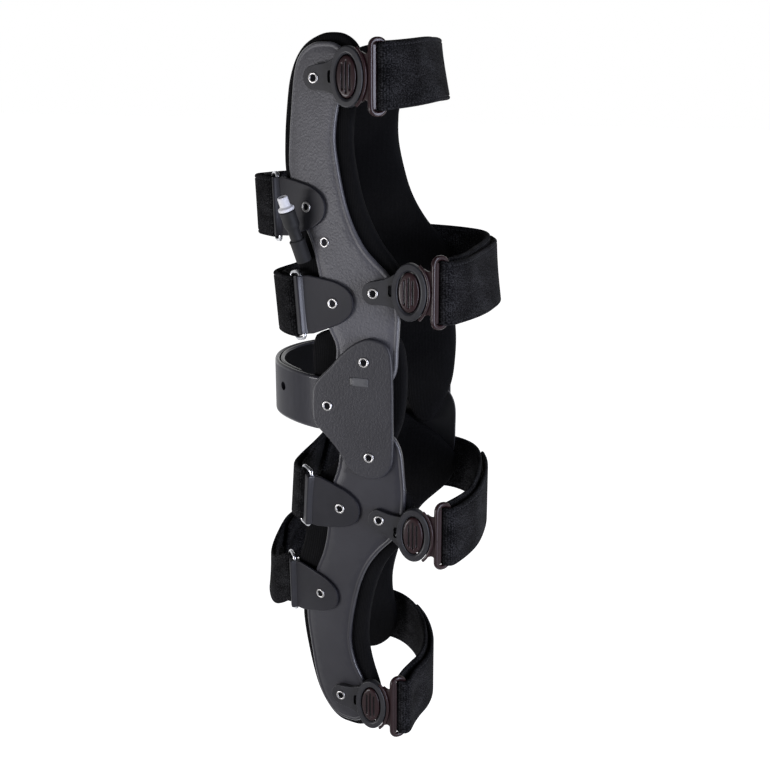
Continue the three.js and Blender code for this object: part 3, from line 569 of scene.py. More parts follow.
thigh_film = grained_finish("thigh film", (0.055, 0.054, 0.061), (0.086, 0.085, 0.094), 0.4, 0.16)
calf_coat = satin_finish("calf coat", (0.021, 0.0205, 0.0255), (0.028, 0.0275, 0.0335), 0.36, 0.3)
PLATES = {"thigh": (thigh_film, "grained_shell"), "calf": (calf_coat, "satin_shell")}
plate_outlines = {}
for body, (finish, slot) in PLATES.items():
    for side in SIDES:
        node = f"{body}_plate_{side}"
        outline = smooth_line(rim_of(node, body, side), OUTLINE_STEP, True)
        outline = soften(outline, OUTLINE_SOFTENING)
        plate_outlines[body, side] = outline
        flat, faces = lay_up(outline, RIM_SECTION)
        points = to_side(on_shell(flat), body, side)
        plate = make_piece(f"{body}_shell_{side}", points, faces, finish)
        store(plate, "lining", flat[:, 1] < RIM_SECTION[0][1] + FELT_WITHIN)
        store_rings(plate, "edge", len(outline), *RIM_RINGS)
        settle(plate, body, slot, node)

# Pads. Each is a slab of foam in a brushed knit cover, sewn shut round its leg-side edge and
# fixed behind its plate. The foam swells the cover where the plate doesn't hold it flat.
PAD_LOW, PAD_HIGH = -11.0, -3.4
PAD_ROUND, PAD_TURNS = 2.6, 5
PAD_STEP, PAD_SOFTENING = 3.0, 3
HELD_WITHIN, HELD_INSET = 0.6, 1.0
SWELL_FRAMES, SWELL_QUALITY, SWELL_PRESSURE, SWELL_MOST = 14, 4, 4.0, 1.3
PADS = {"thigh_pad": "thigh", "calf_pad": "calf", "hinge_pad": "hinge_link"}
PAD_MARGINS = {
    # pad: x that the front margin starts before, its reach, and the heights it grows and ends over
    "thigh_pad": (-14.0, 9.0, (53.0, 54.0), (82.0, 104.0)),
    "calf_pad": (-16.0, 12.0, (-140.0, -122.0), (-56.0, -37.0)),
    "hinge_pad": (-6.0, 15.0, (-16.0, 6.0), (40.0, 52.0)),
}
MARGIN_BLEND = 12.0
TUCK_X, TUCK_RADIUS = -24.0, 40.0
RIB_PITCH = 1.05


def knit_finish(name, dark, pale):
    """Brushed knit: fine upright ribs under a short nap."""
    made = Finish(name, Specular_Ior_Level=0.03)
    place = made.places()
    nap = made.cloud(place, 0.5, 3.0, 0.7)
    drift = made.cloud(place, 5.0, 2.0)
    across = made.part(place, "X") + made.part(place, "Y") * 1.3
    ribs = (across * (2 * math.pi / RIB_PITCH) + drift * 3.0).math("SINE") * 0.5 + 0.5
    worn = made.cloud(place, 34.0, 3.0)
    mottle = ribs * 0.25 + nap * 0.7 + worn * 0.3
    made.set("Base Color", made.tint(dark, pale, mottle.ease(0.3, 1.1)))
    made.set("Roughness", 0.86 + nap * 0.12)
    made.raise_by(ribs * 0.3 + nap * 0.8, 0.22, 0.6)
    return made


def front_margin(outline, start, reach, grows, ends):
    """A pad's outline with its front margin drawn further forward between two heights."""
    x, z = outline.T
    share = ease(z, *grows) * (1 - ease(z, *ends)) * ease(start - x, 0.0, MARGIN_BLEND)
    return np.column_stack([x - reach * share, z])


def swell(pads):
    """Foam pushes the covers out: a short cloth run, with each point's move kept small."""
    for pad, held in pads:
        group = pad.vertex_groups.new(name="held")
        group.add(held, 1.0, "REPLACE")
        cover = pad.modifiers.new("cover", "CLOTH")
        cover.settings.use_pressure = True
        cover.settings.uniform_pressure_force = SWELL_PRESSURE
        cover.settings.effector_weights.gravity = 0.0
        cover.settings.vertex_group_mass = group.name
        cover.settings.quality = SWELL_QUALITY
        cover.point_cache.frame_start = 1
        cover.point_cache.frame_end = SWELL_FRAMES
    for number in range(1, SWELL_FRAMES + 1):
        scene.frame_set(number)
    graph = bpy.context.evaluated_depsgraph_get()
    most = SWELL_MOST * MM
    for pad, _ in pads:
        count = len(pad.data.vertices)
        start, end = np.zeros(count * 3, np.float32), np.zeros(count * 3, np.float32)
        pad.data.vertices.foreach_get("co", start)
        pad.evaluated_get(graph).data.vertices.foreach_get("co", end)
        move = (end - start).reshape(-1, 3)
        length = np.maximum(np.linalg.norm(move, axis=1), 1e-9)
        move *= (np.tanh(length / most) * most / length)[:, None]
        pad.modifiers.remove(pad.modifiers["cover"])
        pad.vertex_groups.clear()
        pad.data.vertices.foreach_set("co", start + move.ravel())
        pad.data.update()
    scene.frame_set(1)


pad_knit = knit_finish("pad knit", (0.0022, 0.0022, 0.0025), (0.0125, 0.0125, 0.0135))
pad_section = rounded_edge(PAD_LOW, PAD_HIGH, PAD_ROUND, PAD_TURNS, inner=1.0)[1:-1]
pads_to_swell = []
for pad_name, body in PADS.items():
    for side in SIDES:
        node = f"{pad_name}_{side}"
        outline = smooth_line(rim_of(node, body, side), OUTLINE_STEP, True)
        outline = front_margin(soften(outline, PAD_SOFTENING), *PAD_MARGINS[pad_name])
        flat, faces = lay_up(outline, pad_section, PAD_STEP)
        if pad_name == "hinge_pad":
            flat[:, 1] -= np.maximum(0.0, TUCK_X - flat[:, 0]) ** 2 / (2 * TUCK_RADIUS)
        points = to_side(on_shell(flat), body, side)
        pad = make_piece(f"{pad_name}_cover_{side}", points, faces, pad_knit)
        held = flat[:, 1] > PAD_HIGH - HELD_WITHIN
        if (body, side) in plate_outlines:
            held &= within(flat[:, [0, 2]], inset_loop(plate_outlines[body, side], HELD_INSET))
        pads_to_swell.append((pad, np.flatnonzero(held).tolist()))
        settle(pad, body, "pad_felt", node)
swell(pads_to_swell)

# Hinge covers. Each is a flat plate over both pivots of its side, pressed with the same grain as
# the thigh plates. A blank foil patch is stuck on the near one, above the middle.
COVER_LOW, COVER_HIGH, COVER_ROUND = 57.3, 59.8, 1.2
COVER_STEP, COVER_SOFTENING = 1.6, 1
COVER_RINGS, COVER_POLISH = (5, 9), 0.2
PATCH_X, PATCH_Z, PATCH_CORNER = (-10.1, 1.7), (14.2, 19.3), 0.7
PATCH_SECTION = [(0.0, 0.0), (0.0, 0.25), (0.2, 0.3)]
# Colours of the foil: a painted shadow at its left edge, its grey and its pale; then the span over which
# that painted shadow fades.
FOIL_SHADOW, FOIL_GREY, FOIL_PALE = (0.012, 0.012, 0.014), (0.05, 0.05, 0.052), (0.07, 0.07, 0.075)
FOIL_SHADOW_FADE = (PATCH_X[0] + 0.6, PATCH_X[0] + 2.6)


def on_flat(points):
    """Points given as x, distance from the mid plane and z, on the near side."""
    return points * (1.0, -1.0, 1.0)


def rounded_box(x, z, radius, turns=4):
    """Outline of a rectangle with round corners, counter-clockwise."""
    corners = []
    for k, (a, b) in enumerate([(1, 1), (0, 1), (0, 0), (1, 0)]):
        middle_x, middle_z = x[a] - (2 * a - 1) * radius, z[b] - (2 * b - 1) * radius
        for angle in np.linspace(k * math.pi / 2, (k + 1) * math.pi / 2, turns):
            corners.append((middle_x + radius * math.cos(angle), middle_z + radius * math.sin(angle)))
    return np.array(corners)


cover_film = grained_finish("cover film", (0.02, 0.0195, 0.023), (0.031, 0.0305, 0.0355), 0.38, 0.1)
for side in SIDES:
    node = f"hinge_cover_{side}"
    outline = smooth_line(rim_of(node, "hinge_link", side), COVER_STEP, True)
    outline = soften(outline, COVER_SOFTENING)
    flat, faces = lay_up(outline, rounded_edge(COVER_LOW, COVER_HIGH, COVER_ROUND))
    points = to_side(on_flat(flat), "hinge_link", side)
    cover = make_piece(f"hinge_plate_{side}", points, faces, cover_film)
    store_rings(cover, "edge", len(outline), *COVER_RINGS, COVER_POLISH)
    settle(cover, "hinge_link", "grained_shell", node)

foil = Finish("blank foil", Specular_Ior_Level=0.4, Roughness=0.38)
foil_x = foil.part(foil.places(), "X")
foil_grain = foil.cloud(foil.places(0.3, 0.3, 6.0), 1.0)
# Painted shadow: the foil is darkened along its left edge, as if shaded by its folded edge.
foil_shadowed = foil.tint(FOIL_SHADOW, FOIL_PALE, foil_x.ease(*FOIL_SHADOW_FADE))
foil.set("Base Color", foil.tint(FOIL_GREY, foil_shadowed, foil_grain * 0.4 + 0.6))
foil.raise_by(foil_grain, 0.02, 0.3)
flat, faces = lay_up(rounded_box(PATCH_X, PATCH_Z, PATCH_CORNER), PATCH_SECTION)
patch = make_piece("blank_patch", on_flat(flat + (0.0, COVER_HIGH, 0.0)), faces, foil)
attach(patch, "hinge_link")

# Front band. Two glossy moulded strips with bull-nosed edges overlap round the front of the knee,
# the outer riveted to the near cover and the inner to the far one; a slot shows their setting.
BAND_LINE = [
    (-20.0, -53.8), (-34.0, -52.6), (-54.0, -42.5), (-71.0, -26.0), (-79.5, 0.0),
    (-73.5, 27.0), (-56.0, 46.5), (-35.0, 56.6), (-20.0, 57.2),
]
BAND_LINE_STEP, BAND_BORDER_STEP, BAND_FACE_STEP = 0.5, 2.4, 2.6
BAND_HALF, BAND_THICK, BAND_CORNER = 16.5, 3.0, 2.0
BAND_ROUND, BAND_TURNS = 1.4, 5
STRIPS = {
    # strip: (share of the line where it starts, share where it ends, lift off the line)
    "band_outer": (0.01, 0.83, 1.7),
    "band_inner": (0.17, 0.99, -1.7),
}
SLOT_SHARE, SLOT_Z, SLOT_HALF, SLOT_POINTS = 0.255, 3.4, (3.0, 2.8), 28
FLOW_PALE, FACE_COAT, EDGE_COAT = 1.3, 0.03, 0.5


def gloss_finish(name, colour, rough):
    """Moulded strip with faint flow marks, polished at its edges; the inner one's leg side is lined."""
    made = Finish(name, Specular_Ior_Level=0.1, Coat_Roughness=0.12)
    flow = made.cloud(made.places(3.0, 3.0, 14.0), 1.0, 2.0)
    dust = made.cells(made.places(), 2.1).ease(0.12, 0.02)
    lining = made.mark("lining")
    resin = made.tint(colour, tuple(FLOW_PALE * c for c in colour), flow.ease(0.35, 0.8))
    made.set("Base Color", made.tint(resin, FELT, lining))
    made.set("Roughness", rough + flow * 0.1 + dust * 0.2 + lining * FELT_ROUGH)
    made.set("Coat Weight", FACE_COAT + made.mark("edge") * EDGE_COAT)
    made.raise_by(flow, 0.03, 0.3)
    return made


def full_turn(count):
    """Angles evenly spread round a turn."""
    return np.linspace(0.0, 2 * math.pi, count, endpoint=False)


def oval(half, angles):
    """Flat points of an oval about the origin."""
    return np.column_stack([half[0] * np.cos(angles), half[1] * np.sin(angles)])


band_gloss = gloss_finish("band gloss", (0.023, 0.023, 0.029), 0.36)
band_section = rounded_edge(-BAND_THICK / 2, BAND_THICK / 2, BAND_ROUND, BAND_TURNS, inner=1.0)
band_path = smooth_line(BAND_LINE, BAND_LINE_STEP)
band_along = np.gradient(band_path, axis=0)
band_along /= np.linalg.norm(band_along, axis=1)[:, None]
band_run = run_along(band_path)
slot = (SLOT_SHARE * band_run[-1], SLOT_Z) + oval(SLOT_HALF, full_turn(SLOT_POINTS))
for node, (start, end, offset) in STRIPS.items():
    ends = (start * band_run[-1], end * band_run[-1])
    border = rounded_box(ends, (-BAND_HALF, BAND_HALF), BAND_CORNER, BAND_TURNS)
    border = smooth_line(np.vstack([border, border[:1]]), BAND_BORDER_STEP)[:-1]
    slots = [slot] if node == "band_outer" else []
    flat, faces = lay_up(border, band_section, BAND_FACE_STEP, slots)
    path_axes = (*band_path.T, *band_along.T)
    x, y, along_x, along_y = (np.interp(flat[:, 0], band_run, axis) for axis in path_axes)
    lift = flat[:, 1] + offset
    points = np.column_stack([x - along_y * lift, y + along_x * lift, flat[:, 2]])
    strip = make_piece(f"{node}_strip", points, faces, band_gloss, crease=40)
    store(strip, "lining", (flat[:, 1] < FELT_WITHIN - BAND_THICK / 2) * (node == "band_inner"))
    store(strip, "edge", abs(flat[:, 2]) > BAND_HALF - BAND_ROUND)
    settle(strip, "hinge_link", "gloss_band", node)

# Front brackets. Each is a tapered metal lug, painted and riveted through the plate, with its
# front edge rolled into a tube; a wire ring turns in the tube and carries the front strap.
BRACKETS = {
    # bracket: (x and z of its rivet, lean in degrees)
    "thigh_upper": (-41.2, 118.4, 4.0),
    "thigh_lower": (-21.8, 63.0, 8.0),
    "calf_upper": (-18.6, -66.6, -7.0),
    "calf_lower": (-37.0, -131.5, -2.0),
}
LUG_LIFT, LUG_THICK, LUG_ROUND, LUG_HOLD = 0.3, 1.8, 0.6, 0.3
LUG_HALF, LUG_STEP, LUG_FACE_STEP, LUG_ROOT_POINTS = 17.4, 1.6, 2.6, 11
LUG_NOSE = [(-15.0, -LUG_HALF), (-5.0, -14.9), (5.0, -11.6), (11.6, -6.4), (13.5, 0.0)]
ROLL_X, ROLL_HALF, ROLL_CHORD, ROLL_STEP = -21.0, 17.5, 4.0, 0.4
# Levels along a roll, as shares of its half length, and how far its section is drawn in there.
ROLL_LEVELS = (-1.0, -0.985, -0.95, -0.5, 0.0, 0.5, 0.95, 0.985, 1.0)
ROLL_SHRINK = (0.86, 0.95, 1.0, 1.0, 1.0, 1.0, 1.0, 0.95, 0.86)
# A roll's section from behind round the front to the ridge; its flat face goes back from there.
ROLL_FRONT = [
    (3.4, -1.2), (2.4, -2.4), (0.9, -3.0), (-1.3, -2.8), (-3.3, -1.2), (-4.4, 0.5), (-3.6, 1.5),
    (-1.8, 3.1), (-1.0, 3.7),
]
ROLL_RIDGE, ROLL_FLAT, ROLL_FACING, ROLL_STEEP = (-0.2, 3.8), 4.2, 42.5, 56.0
ROLL_POLISH, POLISH_LAP = 0.8, 0.1
WIRE_RADIUS, WIRE_SIDES, WIRE_STEP = 1.2, 10, 1.0
WIRE_REACH, WIRE_HALF, WIRE_CORNER, WIRE_CORNER_TURNS = 9.5, 20.0, 2.4, 7
WIRE_TURN = -28.0
TARNISH = 0.55


def body_of(name):
    """The body that a bracket, strap or buckle is fixed to."""
    return name.split("_")[0]


def unit(vector):
    """A vector, or each of several, at length 1."""
    return vector / np.linalg.norm(vector, axis=-1, keepdims=True)


def lug_place(name, points):
    """Points about a bracket's rivet, as x, lift and z, set on the shell."""
    at_x, at_z, lean = BRACKETS[name]
    c, s = math.cos(math.radians(lean)), math.sin(math.radians(lean))
    x, lift, z = np.asarray(points, float).reshape(-1, 3).T
    return on_shell(np.column_stack([at_x + x * c - z * s, lift, at_z + x * s + z * c]))


def roll_axes(name):
    """Middle of a bracket's roll, and its axes forward, up and outward."""
    lift = LUG_LIFT + LUG_THICK / 2
    low, high = lug_place(name, [(ROLL_X, lift, -ROLL_HALF), (ROLL_X, lift, ROLL_HALF)])
    front, back = lug_place(name, [(ROLL_X, 0, 0), (ROLL_X + ROLL_CHORD, 0, 0)])
    up = unit(high - low)
    forward = unit(np.cross(up, np.cross(front - back, up)))
    return (low + high) / 2, forward, up, np.cross(up, forward)


def roll_flat(out):
    """Flat face of a roll from its ridge down: it's pressed square to one way on all brackets."""
    slope = min(math.radians(ROLL_FACING) - math.atan2(out[0], -out[1]), math.radians(ROLL_STEEP))
    c, s = math.cos(slope), math.sin(slope)
    steps = (0.0, ROLL_FLAT / 2, ROLL_FLAT)
    return [(ROLL_RIDGE[0] + step * c, ROLL_RIDGE[1] - step * s) for step in steps]


def end_caps(count, sides):
    """The two end faces of a bar with this many sections."""
    return [tuple(range(sides)), tuple(range((count - 1) * sides, count * sides))]


def sweep(path, section, normal, closed):
    """A bar along a flat path; the section's first axis lies in the path's plane."""
    ahead = np.roll(path, -1, 0) - np.roll(path, 1, 0) if closed else np.gradient(path, axis=0)
    side = unit(np.cross(ahead, normal))
    count, sides = len(path), len(section)
    points = path[:, None] + side[:, None] * section[:, 0, None] + normal * section[:, 1, None]
    faces = walls(count, sides, closed)
    if not closed:
        faces += end_caps(count, sides)
    return points.reshape(-1, 3), faces


def roll_form(middle, up, out):
    """A bracket's rolled edge, drawn in a little at its ends, and the polish of its points."""
    path = middle + np.array(ROLL_LEVELS)[:, None] * ROLL_HALF * up
    section = smooth_line(ROLL_FRONT + roll_flat(out), ROLL_STEP, True)
    points, faces = sweep(path, section, out, False)
    centres = np.repeat(path, len(section), 0)
    shrink = np.repeat(ROLL_SHRINK, len(section))[:, None]
    polish = ROLL_POLISH * (section[:, 0] > ROLL_RIDGE[0] - POLISH_LAP)
    return centres + (points - centres) * shrink, faces, np.tile(polish, len(path))


def merge(*forms):
    """Several closed forms as one."""
    points, faces, total = [], [], 0
    for part_points, part_faces in forms:
        points.append(part_points)
        faces += [tuple(total + i for i in face) for face in part_faces]
        total += len(part_points)
    return np.vstack(points), faces


def round_section(radius, sides, square=1.0):
    """Section of a round bar, or of a squarer one where the power is below 1."""
    around = oval((1.0, 1.0), full_turn(sides))
    return radius * np.sign(around) * np.abs(around) ** square


def metal_finish(name, colour, rough, lines):
    """Bare metal with fine drawing or handling marks."""
    made = Finish(name, Metallic=1.0)
    marks = made.cloud(made.places(*lines), 1.0, 4.0, 0.6)
    tarnish = made.cloud(made.places(), 3.0, 3.0)
    dull = tuple(TARNISH * c for c in colour)
    made.set("Base Color", made.tint(dull, colour, tarnish.ease(0.25, 0.6)))
    made.set("Roughness", rough + marks * 0.16)
    made.raise_by(marks, 0.02, 0.3)
    return made


bracket_paint = satin_finish("bracket paint", (0.014, 0.0138, 0.017), (0.022, 0.0216, 0.026), 0.4, 0.16)
steel = metal_finish("steel wire", (0.66, 0.67, 0.7), 0.16, (0.3, 0.3, 3.0))
lug_nose = smooth_line(LUG_NOSE + [(x, -z) for x, z in LUG_NOSE[-2::-1]], LUG_STEP)
lug_root = [(ROLL_X, z) for z in np.linspace(LUG_HALF, -LUG_HALF, LUG_ROOT_POINTS)]
lug_section = rounded_edge(LUG_LIFT, LUG_LIFT + LUG_THICK, LUG_ROUND, hold=LUG_HOLD)
lug_flat, lug_faces = lay_up(np.vstack([lug_nose, lug_root]), lug_section, LUG_FACE_STEP)
wire_span = (-WIRE_HALF, WIRE_HALF)
wire_border = rounded_box((0.0, WIRE_REACH), wire_span, WIRE_CORNER, WIRE_CORNER_TURNS)
wire_border = smooth_line(wire_border, WIRE_STEP, True)
wire_section = round_section(WIRE_RADIUS, WIRE_SIDES)
for name in BRACKETS:
    body = body_of(name)
    middle, forward, up, out = roll_axes(name)
    roll_points, roll_faces, polish = roll_form(middle, up, out)
    lug = (lug_place(name, lug_flat), lug_faces)
    bracket_points, bracket_faces = merge(lug, (roll_points, roll_faces))
    edge = np.concatenate([np.zeros(len(lug_flat)), polish])
    turned = np.array(Matrix.Rotation(math.radians(WIRE_TURN), 3, Vector(up)) @ Vector(forward))
    wire_path = middle + wire_border[:, :1] * turned + wire_border[:, 1:] * up
    wire_points, wire_faces = sweep(wire_path, wire_section, np.cross(turned, up), True)
    for side in SIDES:
        placed = to_side(bracket_points, body, side)
        bracket = make_piece(f"{name}_lug_{side}", placed, bracket_faces, bracket_paint, crease=38)
        store(bracket, "edge", edge)
        settle(bracket, body, "bracket_metal", f"{name}_bracket_{side}")
        placed = to_side(wire_points, body, side)
        wire = make_piece(f"{name}_wire_{side}", placed, wire_faces, steel)
        settle(wire, body, "steel_wire", f"{name}_ring_{side}")

# Straps. Each is a woven tape with a dark loop pile on both faces and flat sealed edges. A front
# strap folds round a wire ring at each end; a back strap folds round its buckle's loop.
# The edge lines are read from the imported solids, smoothed, and given a rounded section.
# Thickness of a packed strap, and how near to it the length of an edge through it comes.
SOLID_THICK, SOLID_NEAR = 2.0, 0.004
STRAP_STEP, PILE_THICK = 1.9, 2.8
STRAP_WIDTHS = {"front": 36.6, "back": 37.6}
SEAM_IN, SEAM_HALF, SEAM_DEPTH = 2.3, 0.6, 0.5
FACE_LINES = (6.0, 11.0)
# A strap's sealed ends: distances in from the end, and the share of the thickness that is left.
END_STOPS, END_THIN = np.array([0.0, 0.12, 0.45, 1.0]), 0.3
STITCH_PITCH, STITCH_GAP, STITCH_EDGE = 3.2, (-0.5, -0.2), (0.42, 0.28)
WEAVE_PITCH = 1.3
LEVEL_ROUNDS, LEVEL_SHARE = 12, 0.25
# A back strap's tail: sections of the run that it lies on, its own, the share of that run that it
# covers, how far the run is pressed out to it, and where that starts and ends.
TAIL_RUN, TAIL_ROWS, TAIL_SHARE, TAIL_PRESS = 15, 10, 0.68, 3.6
TAIL_START, TAIL_END = (0.02, 0.24), (TAIL_SHARE - 0.02, TAIL_SHARE + 0.22)
PILE_DARK, PILE_PALE, THREAD = (0.002, 0.002, 0.0023), (0.05, 0.05, 0.054), (0.022, 0.022, 0.024)


def strap_edges(node):
    """Lower and upper edge of a strap, one row per section: six coordinates."""
    solid = merged_solid(node)
    across = {}
    for edge in solid.edges:
        a, b = edge.verts
        thick = abs(edge.calc_length() / MM - SOLID_THICK) < SOLID_NEAR
        if thick and abs(a.co.z - b.co.z) < WELD:
            across[a] = across[b] = edge
    beside = {}
    for face in solid.faces:
        for edge in face.edges:
            if edge in across.values():
                other = next(vert for vert in face.verts if vert not in edge.verts)
                beside.setdefault(edge, []).append(across[other])
                beside.setdefault(across[other], []).append(edge)
    walk = [next(iter(beside))]
    for _ in range(len(beside) - 1):
        walk.append(next(edge for edge in beside[walk[-1]] if edge not in walk))
    middles = np.array([(edge.verts[0].co + edge.verts[1].co) / 2 for edge in walk]) / MM
    solid.free()
    jumps = np.abs(np.diff(np.append(middles[:, 2], middles[0, 2])))
    first = int(np.argmax(jumps)) + 1
    middles = np.roll(middles, -first, 0)
    half = len(middles) // 2
    rails = np.hstack([middles[:half], middles[half:][::-1]])
    return rails if rails[:, 2].mean() < rails[:, 5].mean() else np.roll(rails, 3, 1)


def press_tail(rails):
    """A back strap's free end is pressed on the run beneath it, which lies out against it."""
    rails = rails if rails[0, 1] > rails[-1, 1] else rails[::-1]
    run, tail = rails[:TAIL_RUN], rails[-TAIL_ROWS:]
    pressed = rails.copy()
    share = np.linspace(1.0, 0.0, TAIL_RUN)
    covered = np.minimum(ease(share, *TAIL_START), 1 - ease(share, *TAIL_END))
    tail_share = np.linspace(0, TAIL_SHARE, TAIL_ROWS)
    bare = share > TAIL_SHARE
    for k in (0, 3):
        over = np.column_stack([np.interp(share, tail_share, axis) for axis in tail[:, k:k + 3].T])
        toward = unit(np.where(bare[:, None], 0.0, over - run[:, k:k + 3]) + 1e-9)
        toward[bare] = toward[np.flatnonzero(~bare)[0]]
        pressed[:TAIL_RUN, k:k + 3] += toward * (covered * TAIL_PRESS)[:, None]
    return pressed


def ribbon(rails, width):
    """Closed tape along two edge lines, with its map: along and across in millimetres."""
    even = smooth_line(rails, STRAP_STEP * math.sqrt(2))
    spread = even[:, 3:] - even[:, :3]
    spread *= (width / np.linalg.norm(spread, axis=1)[:, None] - 1) / 2
    even = np.hstack([even[:, :3] - spread, even[:, 3:] + spread])
    middle = (even[:, :3] + even[:, 3:]) / 2
    run = run_along(middle)
    stops = np.concatenate([END_STOPS, run[2:-2], (run[-1] - END_STOPS)[::-1]])
    even = np.column_stack([np.interp(stops, run, axis) for axis in even.T])
    low, high = even[:, :3], even[:, 3:]
    middle, across = (low + high) / 2, unit(high - low)
    half = np.linalg.norm(high - low, axis=1) / 2
    out = unit(np.cross(np.gradient(middle, stops, axis=0), across))
    depth = np.minimum(1.0, np.minimum(stops, run[-1] - stops))
    full = END_THIN + (1 - END_THIN) * np.sqrt(1.0 - (1.0 - depth) ** 2)
    rim = PILE_THICK / 2
    edge = [(rim * (1 - math.cos(a)), rim * math.sin(a)) for a in np.linspace(0.0, math.pi / 2, 4)]
    edge += [(SEAM_IN - SEAM_HALF, rim), (SEAM_IN, rim - SEAM_DEPTH), (SEAM_IN + SEAM_HALF, rim)]
    edge += [(distance, rim) for distance in FACE_LINES]
    profile = [(-1, d, b) for d, b in edge] + [(0, 0.0, rim)]
    profile += [(1, d, b) for d, b in edge[::-1]] + [(1, d, -b) for d, b in edge[1:]]
    profile += [(0, 0.0, -rim)] + [(-1, d, -b) for d, b in edge[:0:-1]]
    points, along = [], []
    for side, distance, lift in profile:
        reach = side * (half - distance)
        points.append(middle + across * reach[:, None] + out * (lift * full)[:, None])
        along.append(np.column_stack([stops, reach]))
    points = np.stack(points, 1).reshape(-1, 3)
    along = np.stack(along, 1).reshape(-1, 2)
    size = len(stops), len(profile)
    return points, walls(*size) + end_caps(*size), along, run[-1]


def pile_finish(name, dark, pale, thread, width):
    """Loop pile: tiny curled loops over a ribbed weave, with a row of stitches near each edge."""
    made = Finish(name, Specular_Ior_Level=0.03)
    loops = made.cells(made.along(0.9, 0.7), 1.0)
    fuzz = made.cloud(made.along(0.75, 0.75), 1.0, 3.0, 0.75)
    drift = made.cloud(made.along(9.0, 9.0), 1.0, 2.0)
    run, across = (made.part(made.along(1.0, 1.0), axis) for axis in "XY")
    ribs = (run * (2 * math.pi / WEAVE_PITCH) + drift * 2.0).math("SINE") * 0.5 + 0.5
    worn = made.cloud(made.along(24.0, 12.0), 1.0, 3.0)
    mottle = ribs * 0.1 + fuzz * 1.1 + worn * 0.4 - loops * 0.3
    from_seam = (across.math("ABSOLUTE") - (width / 2 - SEAM_IN)).math("ABSOLUTE")
    dashes = (run * (2 * math.pi / STITCH_PITCH)).math("SINE").ease(*STITCH_GAP)
    stitches = from_seam.ease(*STITCH_EDGE) * dashes
    pile = made.tint(dark, pale, mottle.ease(0.5, 1.1))
    made.set("Base Color", made.tint(pile, thread, stitches))
    made.set("Roughness", 0.85 + fuzz * 0.12 - stitches * 0.3)
    made.raise_by(ribs * 0.15 - loops * 0.8 + fuzz * 0.8 + stitches * 1.2, 0.35, 0.7)
    return made


strap_piles = {
    kind: pile_finish(f"{kind} strap pile", PILE_DARK, PILE_PALE, THREAD, width)
    for kind, width in STRAP_WIDTHS.items()
}
for name in BRACKETS:
    body = body_of(name)
    for kind, width in STRAP_WIDTHS.items():
        node = f"{name}_{kind}_strap"
        rails = strap_edges(node)
        if kind == "back":
            rails = press_tail(rails)
            for _ in range(LEVEL_ROUNDS):
                rails[1:-1, [2, 5]] += LEVEL_SHARE * np.diff(rails[:, [2, 5]], n=2, axis=0)
        points, faces, along, length = ribbon(rails, width)
        strap = make_piece(f"{name}_{kind}_tape", points, faces, strap_piles[kind], along, crease=60)
        settle(strap, body, "strap_webbing", node)
        length * MM

# Back buckles. The socket is a moulded tab riveted to the plate, with an oval ring that stands
# proud of it. The plug's ridged knob snaps up into the ring, and its loop holds the back strap.
BUCKLES = {
    # buckle: (x and z of its ring's centre, rise of the tab's rivet from it)
    "thigh_upper": (-10.7, 193.6, -0.8),
    "thigh_lower": (27.3, 73.4, -2.2),
    "calf_upper": (30.7, -76.4, 6.4),
    "calf_lower": (-1.0, -203.6, 1.0),
}
SOCKET_LIFT, TAB_THICK, RING_TOP, RING_FOOT = 0.6, 2.6, 4.2, 2.05
RING_HALF, HOLE_HALF, MOUTH_HALF = (10.75, 17.0), (6.9, 12.4), 12.7
TAB_NOSE_X, TAB_NOSE_RADIUS, TAB_NOSE_TURN = -22.5, 7.0, (100.0, 260.0)
TAB_ROOT, TAB_WAIST, WAIST_RISE, MOUTH_X = 10.6, (-14.5, 8.1), 0.45, 2.0
TAB_ROUND, TAB_HOLD, TAB_SIDE_STEP, TAB_FACE_STEP = 0.3, 0.06, 1.2, 1.8
TAB_ARC_POINTS, HOLE_ARC_POINTS, RING_POINTS = 30, 25, 72
SLIT_X, SLIT_HALF, SLIT_ROOT, SLIT_BEND = (-13.1, -11.1), 3.4, 2.2, 0.5
# The ring's section: share of the way from its hole to its outside, and lift.
RING_SECTION = [
    (1.0, RING_FOOT), (1.0, 3.5), (0.96, 3.95), (0.89, RING_TOP), (0.83, RING_TOP), (0.35, RING_TOP),
    (0.29, RING_TOP), (0.14, 3.95), (0.0, 3.3), (0.0, RING_FOOT),
]
KNOB_HALF, KNOB_FOOT, KNOB_TOP = (6.3, 11.7), 0.3, 4.7
# The knob's face is crowned as far as one share of its half size, and rolled down over the rest.
KNOB_FACE, KNOB_RIM, KNOB_CROWN, KNOB_ROLL = (0.03, 0.86), 0.14, 0.45, 0.9
KNOB_RINGS, RIM_TURN, RIM_TURNS, KNOB_POINTS = 26, (0.2, 1.57), 7, 112
KNOB_GROOVES = {-1: 7.0, 0: 8.6, 1: 7.0}
GROOVE_PITCH, GROOVE_HALF, GROOVE_DEPTH, GROOVE_FLAT, GROOVE_END = 2.5, 0.75, 0.8, 0.4, 0.7
NECK_LIFT, NECK_ROUND, NECK_HOLD = (0.2, 2.2), 0.25, 0.1
NECK_SIDE = [(8.4, 14.0), (9.8, 13.1), (11.4, 12.6), (12.7, 13.2), (13.5, 14.8), (14.0, 16.6)]
NECK_SIDE_STEP, NECK_FACE_STEP, NECK_END = 0.8, 1.8, 14.9
SEAT_HALF, SEAT_REACH, SEAT_POINTS = (11.15, 17.4), 13.2, 21
LIP_HALF, LIP_REACH, LIP_LIFT = (12.0, 18.25), math.radians(60.0), 3.0
LIP_RADIUS, LIP_SIDES, LIP_POINTS = 0.95, 10, 31
TONGUE_X, TONGUE_HALF, TONGUE_CORNER, TONGUE_LIFT = (2.0, 14.5), 11.9, 1.5, (0.2, 1.7)
TONGUE_ROUND, TONGUE_HOLD = 0.3, 0.2
LOOP_AT, LOOP_LIFT, LOOP_TURN = 13.3, 2.2, 52.0
LOOP_DEPTH, LOOP_HALF, LOOP_CORNER, LOOP_STEP = 11.4, 21.8, 3.6, 1.1
